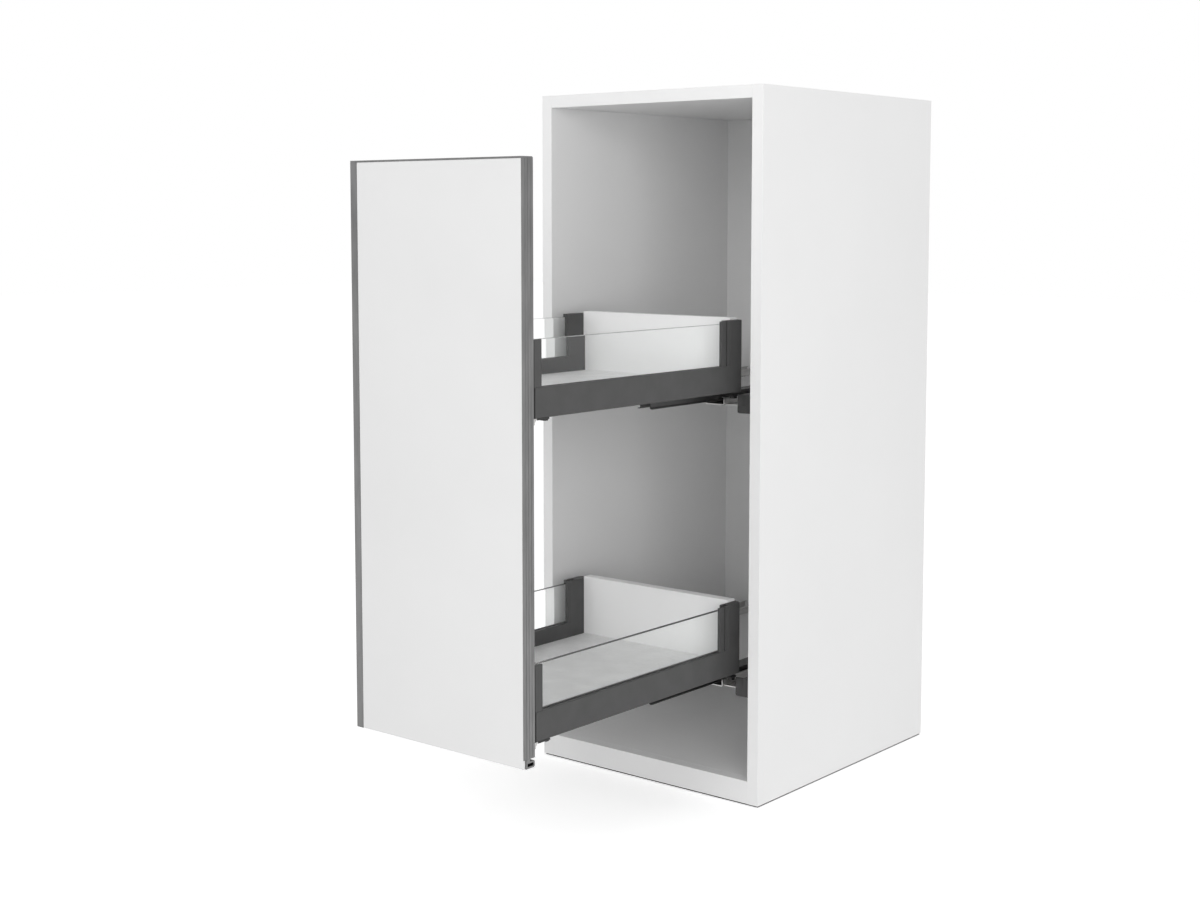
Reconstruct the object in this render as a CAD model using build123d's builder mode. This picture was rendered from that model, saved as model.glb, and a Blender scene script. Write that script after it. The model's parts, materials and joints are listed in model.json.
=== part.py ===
from build123d import *
import os

# A pull out pantry unit, drawn as it stands open: a tall narrow carcass, one tall framed front,
# and two glass sided drawers that the front draws out on telescopic roller runners.
# X is across the unit, Y runs to the back, Z is up. The origin lies on the ground,
# at the middle of the carcass's front edge. Every size is in millimetres.

os.makedirs("parts", exist_ok=True)

# Carcass
carcass_width = 400
carcass_height = 1010
carcass_depth = 465
board = 18
back_board = 8
back_rebate = 9
back_lift = 2
floor_height = 33
edge_band = 1
band_seam = 0.2
dowel_radius = 4
dowel_fit = 0.05
dowel_depth_in_side = 12
dowel_length = 30
dowel_inset = 60
wall_hole_radius = 3
wall_hole_spacing = 260
wall_hole_drop = 60
back_screw_inset = 55
back_screw_count = 4

# Drawers and their travel
opening_travel = 414
front_gap = 2
lower_drawer_height = 180
drawer_spacing = 404
drawer_width = 300
drawer_length = 450
side_rail_width = 15.5
side_rail_height = 38
side_rail_wall = 1.2
side_rail_corner = 1
rail_front_gap = 3
end_cap_recess = 1
end_cap_plug = 10
end_cap_fit = 0.1
shelf_height = 8
shelf_width = 12
base_board = 8
base_front_gap = 2
drawer_back_board = 16
drawer_back_top = 104
glass_thickness = 6
glass_fit = 0.3
glass_groove = 8
glass_top = 97
post_top = 101
front_post_length = 15
front_post_gap = 1.5
rear_post_foot = 45
rear_post_body = 37
rear_post_strip = 20
rear_post_hollow = 26
rear_post_wall = 2
rear_post_round = 14
post_slot_width = 5
post_slot_depth = 3
post_lip_length = 9
post_band_depth = 0.8
rear_flange = 1.5
rear_flange_width = 18

# Runner sections, the same in all four runners
sheet = 1.2
bend = 1.3
runner_side_gap = 0.5
member_width = 28
member_height = 9.8
member_lip = 3.4
member_front = 48
intermediate_width = 18
intermediate_height = 11.4
intermediate_lip = 3.6
intermediate_strip_width = 23.2
intermediate_length = 360
intermediate_front_closed = 50
cabinet_rail_width = 32
cabinet_rail_height = 11.7
cabinet_rail_lip = 4.1
cabinet_rail_front = 3
cabinet_rail_length = 447
upper_roller_space = 5.6
lower_roller_space = 5.8
roller_gap = 0.3

# Roller carriages
carriage_length = 140
cage_thickness = 1.8
cage_corner = 3
upper_cage_width = 20
lower_cage_width = 27
upper_roller_length = 13
lower_roller_length = 3.4
roller_rows = 4
roller_pitch = 36
lower_carriage_front = 30
upper_carriage_front = -140

# Wall brackets and the ears of the cabinet rails
bracket_length = 40
bracket_depth = 26
bracket_wall_part = 14
bracket_shelf = 10
bracket_top_drop = 2
bracket_corner = 2.5
front_bracket_middle = 27
rear_bracket_middle = 320
ear_length = 34
ear_corner = 3
ear_end_gap = 0.5
ear_screw_inset = 6
wall_screw_pitch = 24
wall_screw_drop = 9.5

# Screws
screw_radius = 1.75
screw_fit = 0.25
screw_head_radius = 3.5
screw_head_height = 2.2
screw_head_round = 0.9
wall_screw_length = 26
ear_screw_length = 7
back_screw_length = 20
flange_screw_length = 12
front_screw_length = 12
leg_screw_length = 5

# Soft close units
damper_front = 364
damper_length = 84
damper_width = 16
damper_height = 11.5
damper_top_drop = 12.5
damper_corner = 3
catch_travel = 45
catch_length = 14
catch_width = 5.4
catch_height = 4.2
catch_horn_height = 2.9
catch_horn = 2.7
catch_gap = 0.3
catch_end_gap = 0.5
catch_slot_front = 11.5
catch_slot_inset = 5.2
activator_length = 14
activator_reach = 14
activator_foot = 2.8
activator_leg_length = 8
activator_leg_width = 7
activator_leg_inset = 1
catch_clearance = 0.6

# Drawer locks and release levers
lock_front = 10
lock_rear = 46
lock_inner_reach = 34
lock_plate_bottom = 1.5
lock_wall = 2
lock_clip_front = 7
lock_clip_rear = 29
lock_clip_thickness = 2.4
lock_hook_length = 6
lock_hook_drop = 4.4
lock_hook_inset = 2
lever_pivot_inset = 20
lever_pivot_y = 30
lever_pin_radius = 2
lever_pin_fit = 0.06
lever_boss_radius = 5.5
lever_thickness = 4.7
lever_gap = 0.3
lever_cap_radius = 4
lever_cap_height = 1.4
lever_pad_x = 16
lever_pad_y = 14
lever_pad_radius = 4.5
lever_nose_x = 10
lever_nose_y = 12
lever_nose_radius = 2.5

# Brackets that hold the front to the side rails
front_bracket_sheet = 2
front_bracket_width = 16.5
front_bracket_bottom = 18
front_bracket_top = 58
front_bracket_drop = 8
front_bracket_leg = 40
front_bracket_leg_top = 36
front_bracket_foot = 6
front_bracket_gusset = 8
front_screw_low = 26
front_screw_high = 50
front_screw_inset = 8
leg_screw_y = 28
flange_screw_inset = 12

# The tall front
front_thickness = 20
front_bottom = 150
front_top = 902
front_glass_thickness = 4
profile_wall = 1.6
stile_width = 28
grip_lip_width = 12
grip_lip_thickness = 2.5
grip_channel_depth = 9
grip_back_wall = 3
side_groove_width = 0.7
side_groove_depth = 0.3
side_groove_count = 3
side_groove_pitch = 5
frame_rail_height = 18
bottom_rail_height = 9
bottom_rail_web = 7
bottom_rail_corner = 2.5
stile_lift = 12
cap_thickness = 2.4
cap_corner = 2.2
angle_leg = 18
angle_sheet = 2
angle_width = 10
angle_rear_gap = 3

# Places worked out from the sizes
half_width = carcass_width / 2
inner_half = half_width - board
back_face = carcass_depth - back_board
top_underside = carcass_height - board
drawer_front = -front_gap - opening_travel
drawer_half = drawer_width / 2
rail_inner = drawer_half - side_rail_width
rear_post_front = drawer_length - rear_post_body
rear_strip_front = rear_post_front - rear_post_strip
rear_foot_front = drawer_length - rear_post_foot
rear_panel_front = drawer_length - drawer_back_board
base_top = shelf_height + base_board
glass_middle = drawer_half - side_rail_width / 2
groove_width = glass_thickness + 2 * glass_fit
groove_bottom = side_rail_height - glass_groove
runner_centre = rail_inner - runner_side_gap - member_width / 2
intermediate_front = intermediate_front_closed - opening_travel / 2
drawers = {
    "lower": lower_drawer_height,
    "upper": lower_drawer_height + drawer_spacing,
}
sides = ("left", "right")

# Levels of the runner's layers, measured up from the underside of the side rails
member_top = shelf_height - sheet
member_bottom = member_top - member_height
intermediate_top = member_top - sheet - upper_roller_space
intermediate_bottom = intermediate_top - intermediate_height
cabinet_web_top = intermediate_bottom - lower_roller_space
cabinet_bottom = cabinet_web_top - sheet
cabinet_lip_top = cabinet_bottom + cabinet_rail_height
bracket_bottom = cabinet_bottom - bracket_shelf
bracket_middles = (front_bracket_middle, rear_bracket_middle)

# Places of the screws that ride with the drawers
front_screw_x = rail_inner - front_screw_inset
leg_screw_z = (front_bracket_bottom + front_bracket_leg_top) / 2
flange_rear = drawer_front + drawer_length + rear_flange
flange_screw_x = rail_inner - rear_flange_width / 2
flange_screw_levels = (base_top + flange_screw_inset, post_top - flange_screw_inset)


def across(x, y, z):
    """A plane that faces forwards, with X to the right and Z up; extrusions run to the front."""
    return Plane(origin=(x, y, z), x_dir=(1, 0, 0), z_dir=(0, -1, 0))


def pan_screw(length):
    """A pan head screw along Z: its head stands on Z = 0 and its shank runs down."""
    with BuildPart() as screw:
        Cylinder(screw_head_radius, screw_head_height, align=(Align.CENTER, Align.CENTER, Align.MIN))
        chamfer(screw.edges().group_by(Axis.Z)[-1], screw_head_round)
        Cylinder(screw_radius, length, align=(Align.CENTER, Align.CENTER, Align.MAX))
    return screw.part


def countersunk_screw(length):
    """A countersunk screw along Z: its head's flat top is at Z = 0 and the rest runs down."""
    with BuildPart() as screw:
        Cylinder(screw_radius, length, align=(Align.CENTER, Align.CENTER, Align.MAX))
        Cone(
            screw_radius,
            screw_head_radius,
            screw_head_height,
            align=(Align.CENTER, Align.CENTER, Align.MAX),
        )
    return screw.part


# Places that two or more pieces share
dowel_places = [
    (y, z)
    for y in (dowel_inset, back_face - dowel_inset)
    for z in (top_underside + board / 2, floor_height - board / 2)
]
wall_screw_places = [
    (middle + shift, height - wall_screw_drop)
    for height in drawers.values()
    for middle in bracket_middles
    for shift in (-wall_screw_pitch / 2, wall_screw_pitch / 2)
]
back_screw_pitch = (carcass_height - 2 * back_screw_inset) / (back_screw_count - 1)
back_screw_x = inner_half + back_rebate / 2
back_screw_heights = [back_screw_inset + back_screw_pitch * i for i in range(back_screw_count)]

# Side panels, with the rebate for the back and the holes for dowels and screws
for side in sides:
    with BuildPart() as side_panel:
        with BuildSketch(Plane.XY) as footprint:
            with BuildLine() as outline:
                Polyline(
                    (inner_half, edge_band),
                    (half_width, edge_band),
                    (half_width, carcass_depth),
                    (inner_half + back_rebate, carcass_depth),
                    (inner_half + back_rebate, back_face),
                    (inner_half, back_face),
                    close=True,
                )
            make_face()
        extrude(amount=carcass_height)
        with BuildSketch(Plane.YZ.offset(inner_half)) as dowel_holes:
            with Locations(*dowel_places):
                Circle(dowel_radius + dowel_fit)
        extrude(amount=dowel_depth_in_side, mode=Mode.SUBTRACT)
        with BuildSketch(Plane.YZ.offset(inner_half)) as pilot_holes:
            with Locations(*wall_screw_places):
                Circle(screw_radius)
        extrude(amount=wall_screw_length - bracket_wall_part, mode=Mode.SUBTRACT)
        with BuildSketch(Plane.XZ.offset(-back_face)) as back_pilots:
            with Locations(*[(back_screw_x, z) for z in back_screw_heights]):
                Circle(screw_radius)
        extrude(amount=back_screw_length - back_board, mode=Mode.SUBTRACT)
        if side == "left":
            mirror(about=Plane.YZ, mode=Mode.REPLACE)
    side_panel.part.label = f"{side}_side_panel"
    export_step(side_panel.part, f"parts/{side}_side_panel.step")

# Top and bottom panels lie between the sides, drilled in their ends for the dowels
board_length = 2 * inner_half
dowel_depth_in_end = dowel_length - dowel_depth_in_side
with BuildPart() as top_panel:
    with BuildSketch(Plane.XY.offset(top_underside)) as top_outline:
        with Locations((0, (edge_band + back_face) / 2)):
            Rectangle(board_length, back_face - edge_band)
    extrude(amount=board)
    with BuildSketch(Plane.YZ.offset(inner_half)) as top_dowel_holes:
        with Locations(*[(y, z) for y, z in dowel_places if z > floor_height]):
            Circle(dowel_radius + dowel_fit)
    extrude(amount=-dowel_depth_in_end, mode=Mode.SUBTRACT)
    split(bisect_by=Plane.YZ, keep=Keep.TOP)
    mirror(about=Plane.YZ)
top_panel.part.label = "top_panel"
export_step(top_panel.part, "parts/top_panel.step")

with BuildPart() as bottom_panel:
    with BuildSketch(Plane.XY.offset(floor_height - board)) as bottom_outline:
        with Locations((0, (board + back_face) / 2)):
            Rectangle(board_length, back_face - board)
    extrude(amount=board)
    with BuildSketch(Plane.YZ.offset(inner_half)) as bottom_dowel_holes:
        with Locations(*[(y, z) for y, z in dowel_places if z < floor_height]):
            Circle(dowel_radius + dowel_fit)
    extrude(amount=-dowel_depth_in_end, mode=Mode.SUBTRACT)
    split(bisect_by=Plane.YZ, keep=Keep.TOP)
    mirror(about=Plane.YZ)
bottom_panel.part.label = "bottom_panel"
export_step(bottom_panel.part, "parts/bottom_panel.step")

# Base rails close the foot of the carcass at the front and carry the bottom panel at the back
with BuildPart() as front_base_rail:
    with BuildSketch(Plane.XY) as front_rail_outline:
        with Locations((0, board / 2)):
            Rectangle(board_length, board)
    extrude(amount=floor_height)
front_base_rail.part.label = "front_base_rail"
export_step(front_base_rail.part, "parts/front_base_rail.step")

with BuildPart() as rear_base_rail:
    with BuildSketch(Plane.XY) as rear_rail_outline:
        with Locations((0, back_face - board / 2)):
            Rectangle(board_length, board)
    extrude(amount=floor_height - board)
rear_base_rail.part.label = "rear_base_rail"
export_step(rear_base_rail.part, "parts/rear_base_rail.step")

# The back panel lies in the sides' rebates, with countersunk screws and two wall fixing holes
with BuildPart() as back_panel:
    with BuildSketch(Plane.XY.offset(back_lift)) as back_outline:
        with Locations((0, back_face + back_board / 2)):
            Rectangle(2 * (inner_half + back_rebate), back_board)
    extrude(amount=carcass_height - back_lift)
    with BuildSketch(across(0, carcass_depth, 0)) as wall_holes:
        with Locations(
            (-wall_hole_spacing / 2, carcass_height - wall_hole_drop),
            (wall_hole_spacing / 2, carcass_height - wall_hole_drop),
        ):
            Circle(wall_hole_radius)
    extrude(amount=back_board, mode=Mode.SUBTRACT)
    with Locations(
        *[
            Location((x, carcass_depth, z), (-90, 0, 0))
            for x in (-back_screw_x, back_screw_x)
            for z in back_screw_heights
        ]
    ):
        add(countersunk_screw(back_screw_length), mode=Mode.SUBTRACT)
back_panel.part.label = "back_panel"
export_step(back_panel.part, "parts/back_panel.step")

with BuildPart() as back_panel_screws:
    with Locations(
        *[
            Location((x, carcass_depth, z), (-90, 0, 0))
            for x in (-back_screw_x, back_screw_x)
            for z in back_screw_heights
        ]
    ):
        add(countersunk_screw(back_screw_length))
back_panel_screws.part.label = "back_panel_screws"
export_step(back_panel_screws.part, "parts/back_panel_screws.step")

# Dowels join the panels, and edge bands cover the boards' front edges
with BuildPart() as carcass_dowels:
    with BuildSketch(Plane.YZ.offset(inner_half + dowel_depth_in_side)) as dowel_circles:
        with Locations(*dowel_places):
            Circle(dowel_radius)
    extrude(amount=-dowel_length)
    mirror(about=Plane.YZ)
carcass_dowels.part.label = "carcass_dowels"
export_step(carcass_dowels.part, "parts/carcass_dowels.step")

with BuildPart() as edge_bands:
    with BuildSketch(across(0, edge_band, 0)) as band_outline:
        with Locations((half_width - board / 2, carcass_height / 2)):
            Rectangle(board, carcass_height)
    extrude(amount=edge_band)
    mirror(about=Plane.YZ)
    with BuildSketch(across(0, edge_band, 0)) as top_band_outline:
        with Locations((0, carcass_height - board / 2)):
            Rectangle(board_length - 2 * band_seam, board)
    extrude(amount=edge_band)
edge_bands.part.label = "edge_bands"
export_step(edge_bands.part, "parts/edge_bands.step")

# Cabinet rails: a folded channel that hooks over the intermediate rail, with two ears
# that reach out to the wall brackets
ear_reach = inner_half - bracket_wall_part - ear_end_gap - runner_centre
ear_screw_x = inner_half - bracket_wall_part - ear_screw_inset
for drawer, height in drawers.items():
    for side in sides:
        rear = cabinet_rail_front + cabinet_rail_length
        with BuildPart() as cabinet_rail:
            with BuildSketch(across(runner_centre, rear, height)) as rail_section:
                with BuildLine() as rail_path:
                    flange = (cabinet_rail_width - sheet) / 2
                    lip_end = cabinet_rail_width / 2 - cabinet_rail_lip
                    lip_level = cabinet_lip_top - sheet / 2
                    web_level = cabinet_bottom + sheet / 2
                    FilletPolyline(
                        (-lip_end, lip_level),
                        (-flange, lip_level),
                        (-flange, web_level),
                        (flange, web_level),
                        (flange, lip_level),
                        (lip_end, lip_level),
                        radius=bend,
                    )
                trace(line_width=sheet)
            extrude(amount=cabinet_rail_length)
            with BuildSketch(Plane.XY.offset(height + cabinet_bottom)) as ears:
                for middle in bracket_middles:
                    with Locations((runner_centre + ear_reach / 2, middle)):
                        Rectangle(ear_reach, ear_length)
                fillet(ears.vertices().group_by(Axis.X)[-1], ear_corner)
            extrude(amount=sheet)
            with BuildSketch(Plane.XY.offset(height + cabinet_bottom)) as ear_holes:
                with Locations(*[(ear_screw_x, middle) for middle in bracket_middles]):
                    Circle(screw_radius + screw_fit)
            extrude(amount=sheet, mode=Mode.SUBTRACT)
            if side == "left":
                mirror(about=Plane.YZ, mode=Mode.REPLACE)
        name = f"{drawer}_{side}_cabinet_rail"
        cabinet_rail.part.label = name
        export_step(cabinet_rail.part, f"parts/{name}.step")

# Wall brackets: a moulded block with a shelf under each ear and a back that screws to the side
bracket_half = bracket_length / 2
with BuildPart() as wall_brackets:
    for height in drawers.values():
        for middle in bracket_middles:
            with BuildSketch(across(0, middle + bracket_half, height)) as bracket_section:
                with BuildLine() as bracket_outline:
                    Polyline(
                        (inner_half, bracket_bottom),
                        (inner_half, -bracket_top_drop),
                        (inner_half - bracket_wall_part, -bracket_top_drop),
                        (inner_half - bracket_wall_part, cabinet_bottom),
                        (inner_half - bracket_depth, cabinet_bottom),
                        (inner_half - bracket_depth, bracket_bottom),
                        close=True,
                    )
                make_face()
                corner_points = bracket_section.vertices().group_by(Axis.X)[0]
                fillet(corner_points.sort_by(Axis.Y)[0], bracket_corner)
            extrude(amount=bracket_length)
            with BuildSketch(Plane.XY.offset(height + cabinet_bottom)) as ear_pilot:
                with Locations((ear_screw_x, middle)):
                    Circle(screw_radius)
            extrude(amount=-ear_screw_length, mode=Mode.SUBTRACT)
    with BuildSketch(Plane.YZ.offset(inner_half)) as bracket_holes:
        with Locations(*wall_screw_places):
            Circle(screw_radius + screw_fit)
    extrude(amount=-bracket_wall_part, mode=Mode.SUBTRACT)
    mirror(about=Plane.YZ)
wall_brackets.part.label = "wall_brackets"
export_step(wall_brackets.part, "parts/wall_brackets.step")

with BuildPart() as runner_screws:
    with Locations(
        *[
            Location((inner_half - bracket_wall_part, y, z), (0, -90, 0))
            for y, z in wall_screw_places
        ]
    ):
        add(pan_screw(wall_screw_length))
    with Locations(
        *[
            (ear_screw_x, middle, height + cabinet_web_top)
            for height in drawers.values()
            for middle in bracket_middles
        ]
    ):
        add(pan_screw(ear_screw_length))
    mirror(about=Plane.YZ)
runner_screws.part.label = "runner_screws"
export_step(runner_screws.part, "parts/runner_screws.step")

# Intermediate rails: a hat section whose brims hook under the lips of the cabinet rail,
# with a strip welded along its crown that keeps the drawer member from lifting off
for drawer, height in drawers.items():
    for side in sides:
        rear = intermediate_front + intermediate_length
        with BuildPart() as intermediate_rail:
            with BuildSketch(across(runner_centre, rear, height)) as hat_section:
                with BuildLine() as hat_path:
                    web = (intermediate_width - sheet) / 2
                    brim = intermediate_width / 2 + intermediate_lip
                    brim_level = intermediate_bottom + sheet / 2
                    crown_level = intermediate_top - sheet / 2
                    FilletPolyline(
                        (-brim, brim_level),
                        (-web, brim_level),
                        (-web, crown_level),
                        (web, crown_level),
                        (web, brim_level),
                        (brim, brim_level),
                        radius=bend,
                    )
                trace(line_width=sheet)
            extrude(amount=intermediate_length)
            with BuildSketch(Plane.XY.offset(height + intermediate_top)) as top_strip:
                with Locations((runner_centre, intermediate_front)):
                    Rectangle(
                        intermediate_strip_width,
                        intermediate_length,
                        align=(Align.CENTER, Align.MIN),
                    )
            extrude(amount=-sheet)
            if side == "left":
                mirror(about=Plane.YZ, mode=Mode.REPLACE)
        name = f"{drawer}_{side}_intermediate_rail"
        intermediate_rail.part.label = name
        export_step(intermediate_rail.part, f"parts/{name}.step")

# Roller carriages run between the rails at a quarter and three quarters of the travel
upper_roller_radius = upper_roller_space / 2 - roller_gap
lower_roller_radius = lower_roller_space / 2 - roller_gap
upper_roller_level = intermediate_top + upper_roller_space / 2
lower_roller_level = cabinet_web_top + lower_roller_space / 2
lower_roller_x = intermediate_width / 2 + intermediate_lip - lower_roller_length / 2 - roller_gap
row_start = (carriage_length - (roller_rows - 1) * roller_pitch) / 2
row_places = [row_start + roller_pitch * i for i in range(roller_rows)]

with BuildPart() as lower_carriage_cages:
    for height in drawers.values():
        with BuildSketch(
            Plane.XY.offset(height + lower_roller_level - cage_thickness / 2)
        ) as lower_cage_outline:
            with Locations((runner_centre, lower_carriage_front + carriage_length / 2)):
                RectangleRounded(lower_cage_width, carriage_length, cage_corner)
            for x in (runner_centre - lower_roller_x, runner_centre + lower_roller_x):
                with Locations(*[(x, lower_carriage_front + row) for row in row_places]):
                    Rectangle(
                        lower_roller_length + 2 * roller_gap,
                        2 * (lower_roller_radius + roller_gap),
                        mode=Mode.SUBTRACT,
                    )
        extrude(amount=cage_thickness)
    mirror(about=Plane.YZ)
lower_carriage_cages.part.label = "lower_carriage_cages"
export_step(lower_carriage_cages.part, "parts/lower_carriage_cages.step")

with BuildPart() as lower_carriage_rollers:
    for x in (runner_centre - lower_roller_x, runner_centre + lower_roller_x):
        with BuildSketch(Plane.YZ.offset(x - lower_roller_length / 2)) as lower_roller_ends:
            with Locations(
                *[
                    (lower_carriage_front + row, height + lower_roller_level)
                    for height in drawers.values()
                    for row in row_places
                ]
            ):
                Circle(lower_roller_radius)
        extrude(amount=lower_roller_length)
    mirror(about=Plane.YZ)
lower_carriage_rollers.part.label = "lower_carriage_rollers"
export_step(lower_carriage_rollers.part, "parts/lower_carriage_rollers.step")

with BuildPart() as upper_carriage_cages:
    for height in drawers.values():
        with BuildSketch(
            Plane.XY.offset(height + upper_roller_level - cage_thickness / 2)
        ) as upper_cage_outline:
            with Locations((runner_centre, upper_carriage_front + carriage_length / 2)):
                RectangleRounded(upper_cage_width, carriage_length, cage_corner)
            with Locations(*[(runner_centre, upper_carriage_front + row) for row in row_places]):
                Rectangle(
                    upper_roller_length + 2 * roller_gap,
                    2 * (upper_roller_radius + roller_gap),
                    mode=Mode.SUBTRACT,
                )
        extrude(amount=cage_thickness)
    mirror(about=Plane.YZ)
upper_carriage_cages.part.label = "upper_carriage_cages"
export_step(upper_carriage_cages.part, "parts/upper_carriage_cages.step")

with BuildPart() as upper_carriage_rollers:
    with BuildSketch(
        Plane.YZ.offset(runner_centre - upper_roller_length / 2)
    ) as upper_roller_ends:
        with Locations(
            *[
                (upper_carriage_front + row, height + upper_roller_level)
                for height in drawers.values()
                for row in row_places
            ]
        ):
            Circle(upper_roller_radius)
    extrude(amount=upper_roller_length)
    mirror(about=Plane.YZ)
upper_carriage_rollers.part.label = "upper_carriage_rollers"
export_step(upper_carriage_rollers.part, "parts/upper_carriage_rollers.step")

# Soft close units: a damper housing on each cabinet rail, and a catch that slides in its slot
damper_x = runner_centre + (cabinet_rail_width + damper_width) / 2
catch_x = runner_centre + cabinet_rail_width / 2 + catch_slot_inset + catch_width / 2
catch_slot_start = damper_front + catch_slot_front
catch_slot_length = catch_length + catch_travel + 2 * catch_end_gap
catch_slot_depth = catch_height + catch_gap
with BuildPart() as soft_close_housings:
    for height in drawers.values():
        top = height - damper_top_drop
        with BuildSketch(Plane.XY.offset(top - damper_height)) as damper_outline:
            with Locations((damper_x, damper_front + damper_length / 2)):
                Rectangle(damper_width, damper_length)
            fillet(damper_outline.vertices().group_by(Axis.X)[-1], damper_corner)
        extrude(amount=damper_height)
        with BuildSketch(Plane.XY.offset(top)) as catch_slot:
            with Locations((catch_x, catch_slot_start + catch_slot_length / 2)):
                Rectangle(catch_width + 2 * catch_gap, catch_slot_length)
        extrude(amount=-catch_slot_depth, mode=Mode.SUBTRACT)
    mirror(about=Plane.YZ)
soft_close_housings.part.label = "soft_close_housings"
export_step(soft_close_housings.part, "parts/soft_close_housings.step")

catch_start = catch_slot_start + catch_end_gap
with BuildPart() as soft_close_catches:
    for height in drawers.values():
        top = height - damper_top_drop
        with BuildSketch(Plane.YZ.offset(catch_x - catch_width / 2)) as catch_side:
            with BuildLine() as catch_outline:
                Polyline(
                    (catch_start, top - catch_height),
                    (catch_start + catch_length, top - catch_height),
                    (catch_start + catch_length, top + catch_horn_height),
                    (catch_start + catch_length - catch_horn, top + catch_horn_height),
                    (catch_start + catch_length - catch_horn, top),
                    (catch_start + catch_horn, top),
                    (catch_start + catch_horn, top + catch_horn_height),
                    (catch_start, top + catch_horn_height),
                    close=True,
                )
            make_face()
        extrude(amount=catch_width)
    mirror(about=Plane.YZ)
soft_close_catches.part.label = "soft_close_catches"
export_step(soft_close_catches.part, "parts/soft_close_catches.step")

# Drawer members: the runners' top channels, which the drawers stand on
with BuildPart() as drawer_members:
    for height in drawers.values():
        with BuildSketch(
            across(runner_centre, drawer_front + drawer_length, height)
        ) as member_section:
            with BuildLine() as member_path:
                wall = (member_width - sheet) / 2
                hook_end = member_width / 2 - member_lip
                hook_level = member_bottom + sheet / 2
                top_level = member_top - sheet / 2
                FilletPolyline(
                    (-hook_end, hook_level),
                    (-wall, hook_level),
                    (-wall, top_level),
                    (wall, top_level),
                    (wall, hook_level),
                    (hook_end, hook_level),
                    radius=bend,
                )
            trace(line_width=sheet)
        extrude(amount=drawer_length - member_front)
    mirror(about=Plane.YZ)
drawer_members.part.label = "drawer_members"
export_step(drawer_members.part, "parts/drawer_members.step")

# Activators under the drawer members reach out over the catches
activator_middle = catch_start + catch_travel + catch_length / 2 - opening_travel
activator_outer = catch_x + catch_width / 2 + activator_leg_inset
activator_inner = activator_outer - activator_reach - activator_leg_inset - member_lip
leg_bottom = catch_horn_height + catch_clearance - damper_top_drop
with BuildPart() as activators:
    for height in drawers.values():
        with BuildSketch(Plane.XY.offset(height + member_bottom)) as activator_foot_outline:
            with Locations(((activator_inner + activator_outer) / 2, activator_middle)):
                Rectangle(activator_outer - activator_inner, activator_length)
        extrude(amount=-activator_foot)
        with BuildSketch(Plane.XY.offset(height + member_bottom - activator_foot)) as leg_outline:
            with Locations((catch_x, activator_middle)):
                Rectangle(activator_leg_width, activator_leg_length)
        extrude(amount=leg_bottom - member_bottom + activator_foot)
    mirror(about=Plane.YZ)
activators.part.label = "activators"
export_step(activators.part, "parts/activators.step")

# Side rails: a hollow profile with a groove for the glass and a shelf for the base panel
for drawer, height in drawers.items():
    for side in sides:
        with BuildPart() as side_rail:
            with BuildSketch(across(0, drawer_front + rear_foot_front, height)) as profile:
                with Locations((glass_middle, side_rail_height / 2)):
                    RectangleRounded(side_rail_width, side_rail_height, side_rail_corner)
                with Locations((glass_middle, (side_rail_wall + groove_bottom) / 2)):
                    Rectangle(
                        side_rail_width - 2 * side_rail_wall,
                        groove_bottom - side_rail_wall - 2 * side_rail_wall,
                        mode=Mode.SUBTRACT,
                    )
                with Locations((glass_middle, side_rail_height)):
                    Rectangle(groove_width, 2 * glass_groove, mode=Mode.SUBTRACT)
            extrude(amount=rear_foot_front - rail_front_gap)
            with BuildSketch(Plane.XY.offset(height + member_top)) as shelf:
                with Locations((rail_inner, drawer_front + rail_front_gap)):
                    Rectangle(
                        shelf_width,
                        drawer_length - rail_front_gap,
                        align=(Align.MAX, Align.MIN),
                    )
            extrude(amount=sheet)
            with BuildSketch(Plane.XY.offset(height + member_top)) as shelf_root:
                with Locations((rail_inner, drawer_front + rail_front_gap)):
                    Rectangle(
                        side_rail_wall / 2,
                        rear_foot_front - rail_front_gap,
                        align=(Align.MIN, Align.MIN),
                    )
            extrude(amount=sheet)
            with BuildSketch(Plane.YZ.offset(rail_inner)) as leg_pilot:
                with Locations((drawer_front + leg_screw_y, height + leg_screw_z)):
                    Circle(screw_radius)
            extrude(amount=side_rail_wall, mode=Mode.SUBTRACT)
            if side == "left":
                mirror(about=Plane.YZ, mode=Mode.REPLACE)
        name = f"{drawer}_{side}_side_rail"
        side_rail.part.label = name
        export_step(side_rail.part, f"parts/{name}.step")

# End caps plug the side rails' front ends and stand a little back from their faces
plug_height = groove_bottom - 3 * side_rail_wall - 2 * end_cap_fit
with BuildPart() as rail_end_caps:
    for height in drawers.values():
        with BuildSketch(across(0, drawer_front + rail_front_gap, height)) as cap_face:
            with Locations((glass_middle, side_rail_height / 2)):
                RectangleRounded(
                    side_rail_width - 2 * end_cap_recess,
                    side_rail_height - 2 * end_cap_recess,
                    side_rail_corner,
                )
        extrude(amount=rail_front_gap)
        with BuildSketch(across(0, drawer_front + rail_front_gap, height)) as cap_plug:
            with Locations((glass_middle, (side_rail_wall + groove_bottom) / 2)):
                Rectangle(side_rail_width - 2 * side_rail_wall - 2 * end_cap_fit, plug_height)
        extrude(amount=-end_cap_plug)
    mirror(about=Plane.YZ)
rail_end_caps.part.label = "rail_end_caps"
export_step(rail_end_caps.part, "parts/rail_end_caps.step")

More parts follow.
